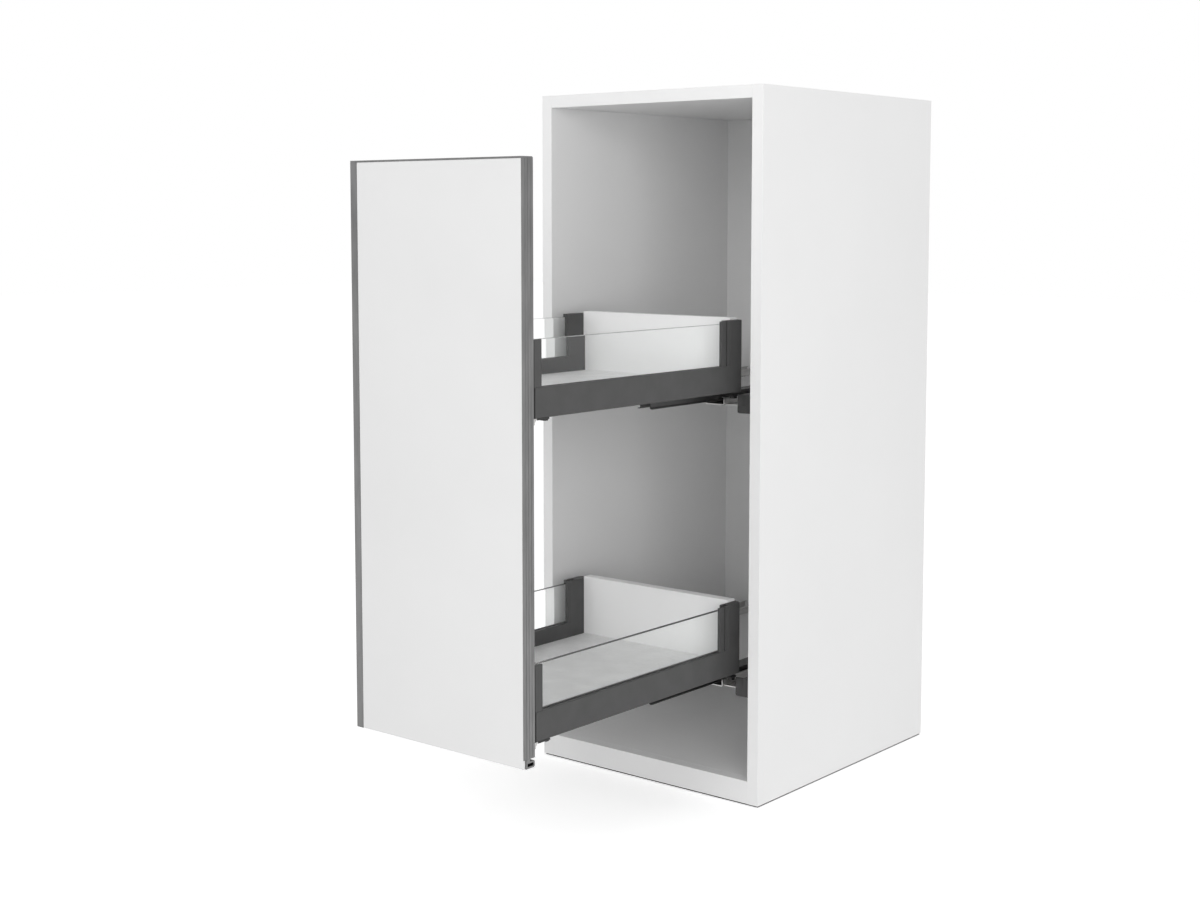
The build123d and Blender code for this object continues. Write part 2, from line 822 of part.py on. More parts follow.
# Front posts stand on the side rails behind the tall front and hold the glass
with BuildPart() as front_posts:
    for height in drawers.values():
        with BuildSketch(Plane.XY.offset(height + side_rail_height)) as front_post_outline:
            with Locations((glass_middle, drawer_front + front_post_length)):
                Rectangle(
                    side_rail_width,
                    front_post_length - front_post_gap,
                    align=(Align.CENTER, Align.MAX),
                )
            with Locations((glass_middle, drawer_front + front_post_length)):
                Rectangle(groove_width, 2 * glass_groove, mode=Mode.SUBTRACT)
        extrude(amount=glass_top - side_rail_height)
    mirror(about=Plane.YZ)
front_posts.part.label = "front_posts"
export_step(front_posts.part, "parts/front_posts.step")

# Rear posts: a hollow corner casting with a rounded outer edge and a foot that continues the
# side rail, a grooved strip outside the glass, and a flange behind the drawer's back
for drawer, height in drawers.items():
    for side in sides:
        with BuildPart() as rear_post:
            for length, bottom, top in (
                (rear_post_foot, 0, side_rail_height),
                (rear_post_body, side_rail_height, post_top),
            ):
                with BuildSketch(Plane.XY.offset(height + bottom)) as post_outline:
                    with Locations((glass_middle, drawer_front + drawer_length)):
                        Rectangle(side_rail_width, length, align=(Align.CENTER, Align.MAX))
                    outer_points = post_outline.vertices().group_by(Axis.Y)[-1]
                    fillet(outer_points.sort_by(Axis.X)[-1], rear_post_round)
                extrude(amount=top - bottom)
            with BuildSketch(Plane.XY.offset(height + side_rail_height)) as strip_outline:
                with Locations((drawer_half, drawer_front + rear_strip_front)):
                    Rectangle(
                        (side_rail_width - groove_width) / 2,
                        rear_post_strip,
                        align=(Align.MAX, Align.MIN),
                    )
            extrude(amount=post_top - side_rail_height)
            with BuildSketch(Plane.XY.offset(height + side_rail_height)) as strip_cuts:
                with Locations((drawer_half, drawer_front + rear_strip_front + post_lip_length)):
                    Rectangle(
                        2 * post_slot_depth,
                        post_slot_width,
                        align=(Align.CENTER, Align.MIN),
                    )
                    Rectangle(
                        2 * post_band_depth,
                        rear_post_strip - post_lip_length,
                        align=(Align.CENTER, Align.MIN),
                    )
            extrude(amount=post_top, mode=Mode.SUBTRACT)
            with BuildSketch(Plane.XY.offset(height + groove_bottom)) as post_groove:
                with Locations((glass_middle, drawer_front + rear_post_front + glass_groove)):
                    Rectangle(
                        groove_width,
                        rear_post_foot,
                        align=(Align.CENTER, Align.MAX),
                    )
            extrude(amount=post_top, mode=Mode.SUBTRACT)
            with BuildSketch(Plane.XY.offset(height)) as hollow:
                with Locations((glass_middle, drawer_front + drawer_length - rear_post_round)):
                    Rectangle(
                        side_rail_width - 2 * rear_post_wall,
                        rear_post_hollow - rear_post_round,
                        align=(Align.CENTER, Align.MAX),
                    )
            extrude(amount=post_top - rear_post_wall, mode=Mode.SUBTRACT)
            with BuildSketch(across(0, flange_rear, height)) as flange_face:
                with Locations((rail_inner - rear_flange_width, base_top)):
                    Rectangle(
                        rear_flange_width + side_rail_width - rear_post_round,
                        post_top - base_top,
                        align=(Align.MIN, Align.MIN),
                    )
                with Locations(*[(flange_screw_x, level) for level in flange_screw_levels]):
                    Circle(screw_radius + screw_fit, mode=Mode.SUBTRACT)
            extrude(amount=rear_flange)
            if side == "left":
                mirror(about=Plane.YZ, mode=Mode.REPLACE)
        name = f"{drawer}_{side}_rear_post"
        rear_post.part.label = name
        export_step(rear_post.part, f"parts/{name}.step")

# Side glasses stand in the grooves of the side rails and posts
glass_front = front_post_length - glass_groove
glass_rear = rear_post_front + glass_groove
for drawer, height in drawers.items():
    for side in sides:
        with BuildPart() as side_glass:
            with BuildSketch(Plane.XY.offset(height + groove_bottom)) as glass_edge:
                with Locations((glass_middle, drawer_front + (glass_front + glass_rear) / 2)):
                    Rectangle(glass_thickness, glass_rear - glass_front)
            extrude(amount=glass_top - groove_bottom)
            if side == "left":
                mirror(about=Plane.YZ, mode=Mode.REPLACE)
        name = f"{drawer}_{side}_side_glass"
        side_glass.part.label = name
        export_step(side_glass.part, f"parts/{name}.step")

# Base and back panels of the drawers
for drawer, height in drawers.items():
    with BuildPart() as base_panel:
        with BuildSketch(Plane.XY.offset(height + shelf_height)) as base_outline:
            with Locations((0, drawer_front + base_front_gap)):
                Rectangle(
                    2 * rail_inner,
                    drawer_length - base_front_gap,
                    align=(Align.CENTER, Align.MIN),
                )
        extrude(amount=base_board)
    base_panel.part.label = f"{drawer}_base_panel"
    export_step(base_panel.part, f"parts/{drawer}_base_panel.step")

    with BuildPart() as drawer_back:
        with BuildSketch(Plane.XY.offset(height + base_top)) as drawer_back_outline:
            with Locations((0, drawer_front + rear_panel_front)):
                Rectangle(2 * rail_inner, drawer_back_board, align=(Align.CENTER, Align.MIN))
        extrude(amount=drawer_back_top - base_top)
        with BuildSketch(across(0, drawer_front + drawer_length, height)) as back_pilot_holes:
            with Locations(
                *[(x, level) for x in (-flange_screw_x, flange_screw_x) for level in flange_screw_levels]
            ):
                Circle(screw_radius)
        extrude(amount=flange_screw_length - rear_flange, mode=Mode.SUBTRACT)
    drawer_back.part.label = f"{drawer}_drawer_back"
    export_step(drawer_back.part, f"parts/{drawer}_drawer_back.step")

# Drawer locks clip the drawers to the runners; each carries the pin of a release lever
lever_top = lock_plate_bottom - lever_gap
lever_bottom = lever_top - lever_thickness
lever_x = runner_centre - lever_pivot_inset
lever_y = drawer_front + lever_pivot_y
lock_length = lock_rear - lock_front
shelf_edge = rail_inner - shelf_width
with BuildPart() as drawer_locks:
    for height in drawers.values():
        with BuildSketch(across(0, drawer_front + lock_rear, height)) as lock_section:
            with BuildLine() as lock_outline:
                Polyline(
                    (runner_centre - lock_inner_reach, shelf_height),
                    (shelf_edge - runner_side_gap, shelf_height),
                    (shelf_edge - runner_side_gap, member_top),
                    (rail_inner - runner_side_gap, member_top),
                    (rail_inner - runner_side_gap, -lock_clip_thickness),
                    (rail_inner - runner_side_gap - lock_wall, -lock_clip_thickness),
                    (rail_inner - runner_side_gap - lock_wall, lock_plate_bottom),
                    (runner_centre - lock_inner_reach, lock_plate_bottom),
                    close=True,
                )
            make_face()
        extrude(amount=lock_length)
        with BuildSketch(Plane.XY.offset(height)) as clip_outline:
            with Locations((drawer_half, drawer_front + lock_clip_front)):
                Rectangle(
                    side_rail_width + runner_side_gap + lock_wall,
                    lock_clip_rear - lock_clip_front,
                    align=(Align.MAX, Align.MIN),
                )
        extrude(amount=-lock_clip_thickness)
        with BuildSketch(Plane.XY.offset(height - lock_clip_thickness)) as hook_outline:
            with Locations((drawer_half - lock_hook_inset, drawer_front + lock_clip_rear)):
                Rectangle(
                    side_rail_width - 2 * lock_hook_inset,
                    lock_hook_length,
                    align=(Align.MAX, Align.MAX),
                )
        extrude(amount=lock_clip_thickness - lock_hook_drop)
        with BuildSketch(Plane.XY.offset(height + lock_plate_bottom)) as pin_outline:
            with Locations((lever_x, lever_y)):
                Circle(lever_pin_radius)
        extrude(amount=lever_bottom - lever_gap - lock_plate_bottom)
        with BuildSketch(Plane.XY.offset(height + lever_bottom - lever_gap)) as cap_outline:
            with Locations((lever_x, lever_y)):
                Circle(lever_cap_radius)
        extrude(amount=-lever_cap_height)
    mirror(about=Plane.YZ)
drawer_locks.part.label = "drawer_locks"
export_step(drawer_locks.part, "parts/drawer_locks.step")

for drawer, height in drawers.items():
    for side in sides:
        with BuildPart() as release_lever:
            with BuildSketch(Plane.XY.offset(height + lever_bottom)) as finger_arm:
                with Locations((lever_x, lever_y)):
                    Circle(lever_boss_radius)
                with Locations((lever_x - lever_pad_x, lever_y - lever_pad_y)):
                    Circle(lever_pad_radius)
                make_hull()
            extrude(amount=lever_thickness)
            with BuildSketch(Plane.XY.offset(height + lever_bottom)) as nose_arm:
                with Locations((lever_x, lever_y)):
                    Circle(lever_boss_radius)
                with Locations((lever_x + lever_nose_x, lever_y + lever_nose_y)):
                    Circle(lever_nose_radius)
                make_hull()
            extrude(amount=lever_thickness)
            with BuildSketch(Plane.XY.offset(height + lever_bottom)) as lever_bore:
                with Locations((lever_x, lever_y)):
                    Circle(lever_pin_radius + lever_pin_fit)
            extrude(amount=lever_thickness, mode=Mode.SUBTRACT)
            if side == "left":
                mirror(about=Plane.YZ, mode=Mode.REPLACE)
        name = f"{drawer}_{side}_release_lever"
        release_lever.part.label = name
        export_step(release_lever.part, f"parts/{name}.step")

# Front brackets: a plate against the tall front, with a leg along the side rail
with BuildPart() as front_brackets:
    for height in drawers.values():
        with BuildSketch(across(0, drawer_front + front_bracket_sheet, height)) as bracket_plate:
            with BuildLine() as plate_outline:
                Polyline(
                    (rail_inner - front_bracket_width, -front_bracket_drop),
                    (drawer_half, -front_bracket_drop),
                    (drawer_half, 0),
                    (rail_inner, 0),
                    (rail_inner, front_bracket_top),
                    (rail_inner - front_bracket_width, front_bracket_top),
                    close=True,
                )
            make_face()
            with Locations((front_screw_x, front_screw_low), (front_screw_x, front_screw_high)):
                Circle(screw_radius + screw_fit, mode=Mode.SUBTRACT)
        extrude(amount=front_bracket_sheet)
        with BuildSketch(Plane.XY.offset(height + front_bracket_bottom)) as leg_edge:
            with Locations((rail_inner, drawer_front)):
                Rectangle(
                    front_bracket_sheet,
                    front_bracket_leg,
                    align=(Align.MAX, Align.MIN),
                )
        extrude(amount=front_bracket_leg_top - front_bracket_bottom)
        with BuildSketch(Plane.XY.offset(height)) as foot_edge:
            with Locations((drawer_half, drawer_front)):
                Rectangle(
                    side_rail_width,
                    front_bracket_foot,
                    align=(Align.MAX, Align.MIN),
                )
        extrude(amount=-front_bracket_sheet)
        with BuildSketch(Plane.YZ.offset(drawer_half)) as gusset_side:
            with BuildLine() as gusset_outline:
                Polyline(
                    (drawer_front, height),
                    (drawer_front + front_bracket_foot, height),
                    (drawer_front, height - front_bracket_gusset),
                    close=True,
                )
            make_face()
        extrude(amount=-front_bracket_sheet)
        with BuildSketch(Plane.YZ.offset(rail_inner)) as leg_hole:
            with Locations((drawer_front + leg_screw_y, height + leg_screw_z)):
                Circle(screw_radius + screw_fit)
        extrude(amount=-front_bracket_sheet, mode=Mode.SUBTRACT)
    mirror(about=Plane.YZ)
front_brackets.part.label = "front_brackets"
export_step(front_brackets.part, "parts/front_brackets.step")

# The tall front: an aluminium frame behind one lacquered glass pane
front_face = drawer_front - front_thickness
glass_back = front_face + front_glass_thickness
stile_inner = drawer_half - stile_width
stile_bottom = front_bottom + stile_lift
stile_top = front_top - cap_thickness
pane_left = -drawer_half + grip_lip_width
pane_right = drawer_half - profile_wall

with BuildPart() as front_glass:
    with BuildSketch(Plane.XY.offset(front_bottom)) as pane_edge:
        with Locations(((pane_left + pane_right) / 2, front_face)):
            Rectangle(
                pane_right - pane_left,
                front_glass_thickness,
                align=(Align.CENTER, Align.MIN),
            )
    extrude(amount=stile_top - front_bottom)
front_glass.part.label = "front_glass"
export_step(front_glass.part, "parts/front_glass.step")

with BuildPart() as right_stile:
    with BuildSketch(Plane.XY.offset(stile_bottom)) as right_section:
        with BuildLine() as right_outline:
            Polyline(
                (stile_inner, drawer_front),
                (stile_inner, glass_back),
                (pane_right, glass_back),
                (pane_right, front_face),
                (drawer_half, front_face),
                (drawer_half, drawer_front),
                close=True,
            )
        make_face()
        with Locations(((stile_inner + drawer_half) / 2, (glass_back + drawer_front) / 2)):
            Rectangle(
                stile_width - 2 * profile_wall,
                front_thickness - front_glass_thickness - 2 * profile_wall,
                mode=Mode.SUBTRACT,
            )
        with Locations(
            *[
                (drawer_half, drawer_front - side_groove_pitch * (i + 1))
                for i in range(side_groove_count)
            ]
        ):
            Rectangle(2 * side_groove_depth, side_groove_width, mode=Mode.SUBTRACT)
    extrude(amount=stile_top - stile_bottom)
    with BuildSketch(across(0, drawer_front, 0)) as right_stile_holes:
        with Locations(
            *[
                (front_screw_x, height + level)
                for height in drawers.values()
                for level in (front_screw_low, front_screw_high)
            ]
        ):
            Circle(screw_radius)
    extrude(amount=profile_wall, mode=Mode.SUBTRACT)
right_stile.part.label = "right_stile"
export_step(right_stile.part, "parts/right_stile.step")

with BuildPart() as left_grip_stile:
    with BuildSketch(Plane.XY.offset(front_bottom)) as grip_section:
        with BuildLine() as grip_outline:
            Polyline(
                (-drawer_half, front_face),
                (pane_left, front_face),
                (pane_left, glass_back),
                (-stile_inner, glass_back),
                (-stile_inner, drawer_front),
                (-drawer_half, drawer_front),
                (-drawer_half, drawer_front - grip_back_wall),
                (-drawer_half + grip_channel_depth, drawer_front - grip_back_wall),
                (-drawer_half + grip_channel_depth, front_face + grip_lip_thickness),
                (-drawer_half, front_face + grip_lip_thickness),
                close=True,
            )
        make_face()
        with Locations((-stile_inner - profile_wall, (glass_back + drawer_front) / 2)):
            Rectangle(
                stile_width - grip_channel_depth - 2 * profile_wall,
                front_thickness - front_glass_thickness - 2 * profile_wall,
                align=(Align.MAX, Align.CENTER),
                mode=Mode.SUBTRACT,
            )
    extrude(amount=stile_top - front_bottom)
    with BuildSketch(across(0, drawer_front, 0)) as left_stile_holes:
        with Locations(
            *[
                (-front_screw_x, height + level)
                for height in drawers.values()
                for level in (front_screw_low, front_screw_high)
            ]
        ):
            Circle(screw_radius)
    extrude(amount=profile_wall, mode=Mode.SUBTRACT)
left_grip_stile.part.label = "left_grip_stile"
export_step(left_grip_stile.part, "parts/left_grip_stile.step")

# Top rail: a box between the stiles under a cap that closes the whole top edge
frame_depth = front_thickness - front_glass_thickness
with BuildPart() as front_top_rail:
    with BuildSketch(Plane.YZ.offset(-stile_inner)) as top_rail_section:
        with Locations((drawer_front, stile_top)):
            Rectangle(frame_depth, frame_rail_height, align=(Align.MAX, Align.MAX))
        with Locations((drawer_front - profile_wall, stile_top - profile_wall)):
            Rectangle(
                frame_depth - 2 * profile_wall,
                frame_rail_height - 2 * profile_wall,
                align=(Align.MAX, Align.MAX),
                mode=Mode.SUBTRACT,
            )
    extrude(amount=2 * stile_inner)
    with BuildSketch(Plane.YZ.offset(-drawer_half)) as cap_section:
        with Locations((drawer_front, front_top)):
            Rectangle(front_thickness, cap_thickness, align=(Align.MAX, Align.MAX))
        top_points = cap_section.vertices().group_by(Axis.Y)[-1]
        fillet(top_points.sort_by(Axis.X)[-1], cap_corner)
    extrude(amount=drawer_width)
front_top_rail.part.label = "front_top_rail"
export_step(front_top_rail.part, "parts/front_top_rail.step")

# Bottom rail: a hollow rail, lower at the back, so that a slit shows under the right stile
with BuildPart() as front_bottom_rail:
    with BuildSketch(Plane.YZ.offset(-stile_inner)) as bottom_rail_section:
        with Locations((drawer_front, front_bottom)):
            Rectangle(frame_depth, bottom_rail_height, align=(Align.MAX, Align.MIN))
        rear_points = bottom_rail_section.vertices().group_by(Axis.X)[-1]
        fillet(rear_points, bottom_rail_corner)
        with Locations((glass_back, front_bottom)):
            Rectangle(bottom_rail_web, stile_lift, align=(Align.MIN, Align.MIN))
        with Locations((drawer_front - frame_depth / 2, front_bottom + bottom_rail_height / 2)):
            Rectangle(
                frame_depth - 2 * bottom_rail_corner,
                bottom_rail_height - 2 * bottom_rail_corner,
                mode=Mode.SUBTRACT,
            )
    extrude(amount=stile_inner + drawer_half)
front_bottom_rail.part.label = "front_bottom_rail"
export_step(front_bottom_rail.part, "parts/front_bottom_rail.step")

# Cross rails close the front ends of the drawers
with BuildPart() as front_cross_rails:
    for height in drawers.values():
        with BuildSketch(Plane.YZ.offset(-stile_inner)) as cross_section:
            with Locations((drawer_front, height)):
                Rectangle(frame_depth, side_rail_height, align=(Align.MAX, Align.MIN))
            with Locations((drawer_front - profile_wall, height + profile_wall)):
                Rectangle(
                    frame_depth - 2 * profile_wall,
                    side_rail_height - 2 * profile_wall,
                    align=(Align.MAX, Align.MIN),
                    mode=Mode.SUBTRACT,
                )
        extrude(amount=2 * stile_inner)
front_cross_rails.part.label = "front_cross_rails"
export_step(front_cross_rails.part, "parts/front_cross_rails.step")

# Angles stiffen the four inner corners of the frame
with BuildPart() as corner_angles:
    for corner_z, step in ((stile_top - frame_rail_height, -angle_leg), (stile_bottom, angle_leg)):
        with BuildSketch(across(0, drawer_front - angle_rear_gap, 0)) as angle_section:
            with BuildLine() as angle_outline:
                inward = angle_sheet if step > 0 else -angle_sheet
                Polyline(
                    (stile_inner, corner_z),
                    (stile_inner, corner_z + step),
                    (stile_inner - angle_sheet, corner_z + step),
                    (stile_inner - angle_sheet, corner_z + inward),
                    (stile_inner - angle_leg, corner_z + inward),
                    (stile_inner - angle_leg, corner_z),
                    close=True,
                )
            make_face()
        extrude(amount=angle_width)
    mirror(about=Plane.YZ)
corner_angles.part.label = "corner_angles"
export_step(corner_angles.part, "parts/corner_angles.step")

# Screws that ride with the drawers: through the front brackets, their legs and the rear flanges
with BuildPart() as drawer_screws:
    for height in drawers.values():
        with Locations(
            *[
                Location(
                    (front_screw_x, drawer_front + front_bracket_sheet, height + level),
                    (-90, 0, 0),
                )
                for level in (front_screw_low, front_screw_high)
            ]
        ):
            add(pan_screw(front_screw_length))
        with Locations(
            Location(
                (
                    rail_inner - front_bracket_sheet,
                    drawer_front + leg_screw_y,
                    height + leg_screw_z,
                ),
                (0, -90, 0),
            )
        ):
            add(pan_screw(leg_screw_length))
        with Locations(
            *[
                Location(
                    (flange_screw_x, flange_rear, height + level),
                    (-90, 0, 0),
                )
                for level in flange_screw_levels
            ]
        ):
            add(pan_screw(flange_screw_length))
    mirror(about=Plane.YZ)
drawer_screws.part.label = "drawer_screws"
export_step(drawer_screws.part, "parts/drawer_screws.step")
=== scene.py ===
"""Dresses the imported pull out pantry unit: finishes, soft edges, small trim, studio, camera."""

import json
import logging
import math
from dataclasses import dataclass
from enum import Enum
from typing import Callable

import bmesh
import bpy
from mathutils import Matrix, Vector


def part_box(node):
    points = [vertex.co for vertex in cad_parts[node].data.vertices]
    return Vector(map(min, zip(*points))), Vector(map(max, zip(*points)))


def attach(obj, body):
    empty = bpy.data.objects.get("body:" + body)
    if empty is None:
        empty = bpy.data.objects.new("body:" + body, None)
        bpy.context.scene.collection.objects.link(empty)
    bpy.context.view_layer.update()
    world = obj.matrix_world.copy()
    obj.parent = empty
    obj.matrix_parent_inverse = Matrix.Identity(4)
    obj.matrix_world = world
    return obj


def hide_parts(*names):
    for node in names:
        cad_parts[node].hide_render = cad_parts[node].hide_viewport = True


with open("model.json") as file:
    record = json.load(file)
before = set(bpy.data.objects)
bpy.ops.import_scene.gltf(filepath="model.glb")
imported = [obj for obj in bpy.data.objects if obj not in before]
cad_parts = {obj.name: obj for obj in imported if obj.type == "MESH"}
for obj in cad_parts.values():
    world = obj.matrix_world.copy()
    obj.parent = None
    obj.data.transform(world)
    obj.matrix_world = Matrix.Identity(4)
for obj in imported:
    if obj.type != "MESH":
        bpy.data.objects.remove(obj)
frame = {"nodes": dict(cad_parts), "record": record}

log = logging.getLogger("pull_out_pantry")

MM = 0.001
MERGE_DISTANCE = 2e-6
FLAT_ANGLE = math.radians(0.5)
BEVEL_ANGLE = math.radians(38)
DRAWERS = {"lower": 180 * MM, "upper": 584 * MM}
SIDES = ("left", "right")
DISPLAY_WHITE = 255
DISPLAY_OFFSET = 0.055
DISPLAY_POWER = 2.4
NOISE_LOW = 0.3
NOISE_HIGH = 0.7
ROUNDING_STEPS = 2
SHADING_WEIGHT = 60
WHITE = (1.0, 1.0, 1.0, 1.0)

Colour = tuple[float, float, float]


class Body(Enum):
    """The rigid bodies that pieces ride on."""

    CARCASS = "carcass"
    PULL_OUT = "pull_out"
    INTERMEDIATE = "intermediate_rails"
    LOWER_CARRIAGES = "lower_carriages"
    UPPER_CARRIAGES = "upper_carriages"
    CATCHES = "catches"


class Slot(Enum):
    """The record's material slots."""

    WHITE_BOARD = "white_board"
    EDGE_BAND = "edge_band"
    DOWEL_WOOD = "dowel_wood"
    ZINC_STEEL = "zinc_steel"
    DARK_STEEL = "dark_steel"
    SCREW_STEEL = "screw_steel"
    BLACK_PLASTIC = "black_plastic"
    DARK_PLASTIC = "dark_plastic"
    ROLLER_PLASTIC = "roller_plastic"
    GREY_METAL = "grey_metal"
    CLEAR_GLASS = "clear_glass"
    FRONT_GLASS = "front_glass"
    FRAME_ALUMINIUM = "frame_aluminium"
    BASE_BOARD = "base_board"


class Nodes:
    """A material's node tree with short calls for the nodes that the finishes share."""

    def __init__(self, name: str) -> None:
        """Starts a material with its surface shader, its output and object coordinates.

        Args:
            name: The material's name.
        """
        self.material = bpy.data.materials.new(name)
        self.material.use_nodes = True
        self.tree = self.material.node_tree
        self.shader = self.tree.nodes["Principled BSDF"]
        self.coordinates = self.tree.nodes.new("ShaderNodeTexCoord").outputs["Object"]

    def set(self, **values: object) -> None:
        """Sets constants on the shader's own sockets, named with underscores for spaces."""
        for key, value in values.items():
            self.shader.inputs[key.replace("_", " ")].default_value = value

    def noise(
        self,
        size: float,
        detail: float = 3.0,
        roughness: float = 0.55,
        stretch: tuple[float, float, float] = (1.0, 1.0, 1.0),
    ) -> bpy.types.NodeSocket:
        """Adds a noise whose features are about one size.

        Args:
            size: The features' size in metres.
            detail: How many finer layers the noise has.
            roughness: How strong the finer layers are.
            stretch: How much longer the features are along each axis.

        Returns:
            The noise's value, about 0.5 on average.
        """
        place = self.tree.nodes.new("ShaderNodeMapping")
        place.vector_type = "POINT"
        place.inputs["Scale"].default_value = tuple(1.0 / (size * s) for s in stretch)
        self.tree.links.new(self.coordinates, place.inputs["Vector"])
        noise = self.tree.nodes.new("ShaderNodeTexNoise")
        noise.inputs["Scale"].default_value = 1.0
        noise.inputs["Detail"].default_value = detail
        noise.inputs["Roughness"].default_value = roughness
        self.tree.links.new(place.outputs["Vector"], noise.inputs["Vector"])
        return noise.outputs["Fac"]

    def spread(
        self, value: bpy.types.NodeSocket, low: float, high: float
    ) -> bpy.types.NodeSocket:
        """Maps a noise's middle range to a range of values.

        Args:
            value: The noise to map.
            low: The result where the noise is low.
            high: The result where the noise is high.

        Returns:
            The mapped value.
        """
        spread = self.tree.nodes.new("ShaderNodeMapRange")
        spread.inputs["From Min"].default_value = NOISE_LOW
        spread.inputs["From Max"].default_value = NOISE_HIGH
        spread.inputs["To Min"].default_value = low
        spread.inputs["To Max"].default_value = high
        self.tree.links.new(value, spread.inputs["Value"])
        return spread.outputs["Result"]

    def blend(
        self,
        value: bpy.types.NodeSocket,
        low: Colour,
        high: Colour,
    ) -> bpy.types.NodeSocket:
        """Blends two colours by a noise.

        Args:
            value: The noise.
            low: The linear colour where the noise is low.
            high: The linear colour where the noise is high.

        Returns:
            The blended colour.
        """
        ramp = self.tree.nodes.new("ShaderNodeValToRGB")
        ends = ramp.color_ramp.elements
        ends[0].position = NOISE_LOW
        ends[0].color = (*low, 1.0)
        ends[1].position = NOISE_HIGH
        ends[1].color = (*high, 1.0)
        self.tree.links.new(value, ramp.inputs["Fac"])
        return ramp.outputs["Color"]

    def bump(self, value: bpy.types.NodeSocket, height: float, strength: float = 1.0) -> None:
        """Adds a bump to the shader, on top of any that it has.

        Args:
            value: The height pattern, from 0 to 1.
            height: The pattern's height in metres.
            strength: How much of it shows.
        """
        bump = self.tree.nodes.new("ShaderNodeBump")
        bump.inputs["Strength"].default_value = strength
        bump.inputs["Distance"].default_value = height
        self.tree.links.new(value, bump.inputs["Height"])
        normal = self.shader.inputs["Normal"]
        if normal.is_linked:
            self.tree.links.new(normal.links[0].from_socket, bump.inputs["Normal"])
        self.tree.links.new(bump.outputs["Normal"], normal)

    def pass_lamps(self, shade: Colour) -> None:
        """Lets a lamp's rays straight through, so that a clear pane throws almost no shadow.

        Args:
            shade: The linear colour that the pane gives to that light.
        """
        clear = self.tree.nodes.new("ShaderNodeBsdfTransparent")
        clear.inputs["Color"].default_value = (*shade, 1.0)
        rays = self.tree.nodes.new("ShaderNodeLightPath")
        mix = self.tree.nodes.new("ShaderNodeMixShader")
        self.tree.links.new(rays.outputs["Is Shadow Ray"], mix.inputs["Fac"])
        self.tree.links.new(self.shader.outputs["BSDF"], mix.inputs[1])
        self.tree.links.new(clear.outputs["BSDF"], mix.inputs[2])
        surface = self.tree.nodes["Material Output"].inputs["Surface"]
        self.tree.links.new(mix.outputs["Shader"], surface)

    def colour(self, socket: bpy.types.NodeSocket) -> None:
        """Links a colour to the shader's base colour."""
        self.tree.links.new(socket, self.shader.inputs["Base Color"])

    def gloss(self, socket: bpy.types.NodeSocket) -> None:
        """Links a value to the shader's roughness."""
        self.tree.links.new(socket, self.shader.inputs["Roughness"])


def grey(level: int, warmth: float = 0.0) -> Colour:
    """Gives the linear colour of a display grey.

    Args:
        level: The display value, from 0 to 255.
        warmth: How much redder and less blue it is, as a share of its own value.

    Returns:
        The linear colour.
    """
    share = level / DISPLAY_WHITE
    value = ((share + DISPLAY_OFFSET) / (1 + DISPLAY_OFFSET)) ** DISPLAY_POWER
    return (value * (1 + warmth), value, value * (1 - warmth))


@dataclass(frozen=True)
class BoardFinish:
    """A melamine faced board: an even colour with faint clouds under a fine pearl texture."""

    name: str
    dark: Colour
    light: Colour
    cloud: float = 0.09
    cloud_detail: float = 4.0
    roughness: float = 0.42
    smoother: float = 0.04
    rougher: float = 0.05
    sheen_patch: float = 20 * MM
    specular: float = 0.4
    pearl: float = 1.1 * MM
    pearl_detail: float = 2.0
    pearl_height: float = 0.02 * MM

    def make(self) -> bpy.types.Material:
        """Builds the material.

        Returns:
            The material.
        """
        nodes = Nodes(self.name)
        cloud = nodes.noise(self.cloud, self.cloud_detail)
        nodes.colour(nodes.blend(cloud, self.dark, self.light))
        patch = nodes.noise(self.sheen_patch)
        low, high = self.roughness - self.smoother, self.roughness + self.rougher
        nodes.gloss(nodes.spread(patch, low, high))
        nodes.set(Specular_IOR_Level=self.specular)
        nodes.bump(nodes.noise(self.pearl, self.pearl_detail), self.pearl_height)
        return nodes.material


@dataclass(frozen=True)
class DecorFinish:
    """A pale decor board: soft smudges of two sizes like a fine concrete print."""

    name: str
    dark: Colour
    light: Colour
    smudge: float = 35 * MM
    smudge_detail: float = 6.0
    smudge_contrast: float = 0.62
    grain: float = 4 * MM
    grain_detail: float = 3.0
    grain_contrast: float = 0.6
    grain_share: float = 0.35
    grain_height: float = 0.03 * MM
    roughness: float = 0.5
    smoother: float = 0.06
    rougher: float = 0.08

    def make(self) -> bpy.types.Material:
        """Builds the material.

        Returns:
            The material.
        """
        nodes = Nodes(self.name)
        large = nodes.noise(self.smudge, self.smudge_detail, self.smudge_contrast)
        small = nodes.noise(self.grain, self.grain_detail, self.grain_contrast)
        mix = nodes.tree.nodes.new("ShaderNodeMix")
        mix.inputs["Factor"].default_value = self.grain_share
        nodes.tree.links.new(large, mix.inputs["A"])
        nodes.tree.links.new(small, mix.inputs["B"])
        nodes.colour(nodes.blend(mix.outputs["Result"], self.dark, self.light))
        low, high = self.roughness - self.smoother, self.roughness + self.rougher
        nodes.gloss(nodes.spread(large, low, high))
        nodes.bump(small, self.grain_height)
        return nodes.material


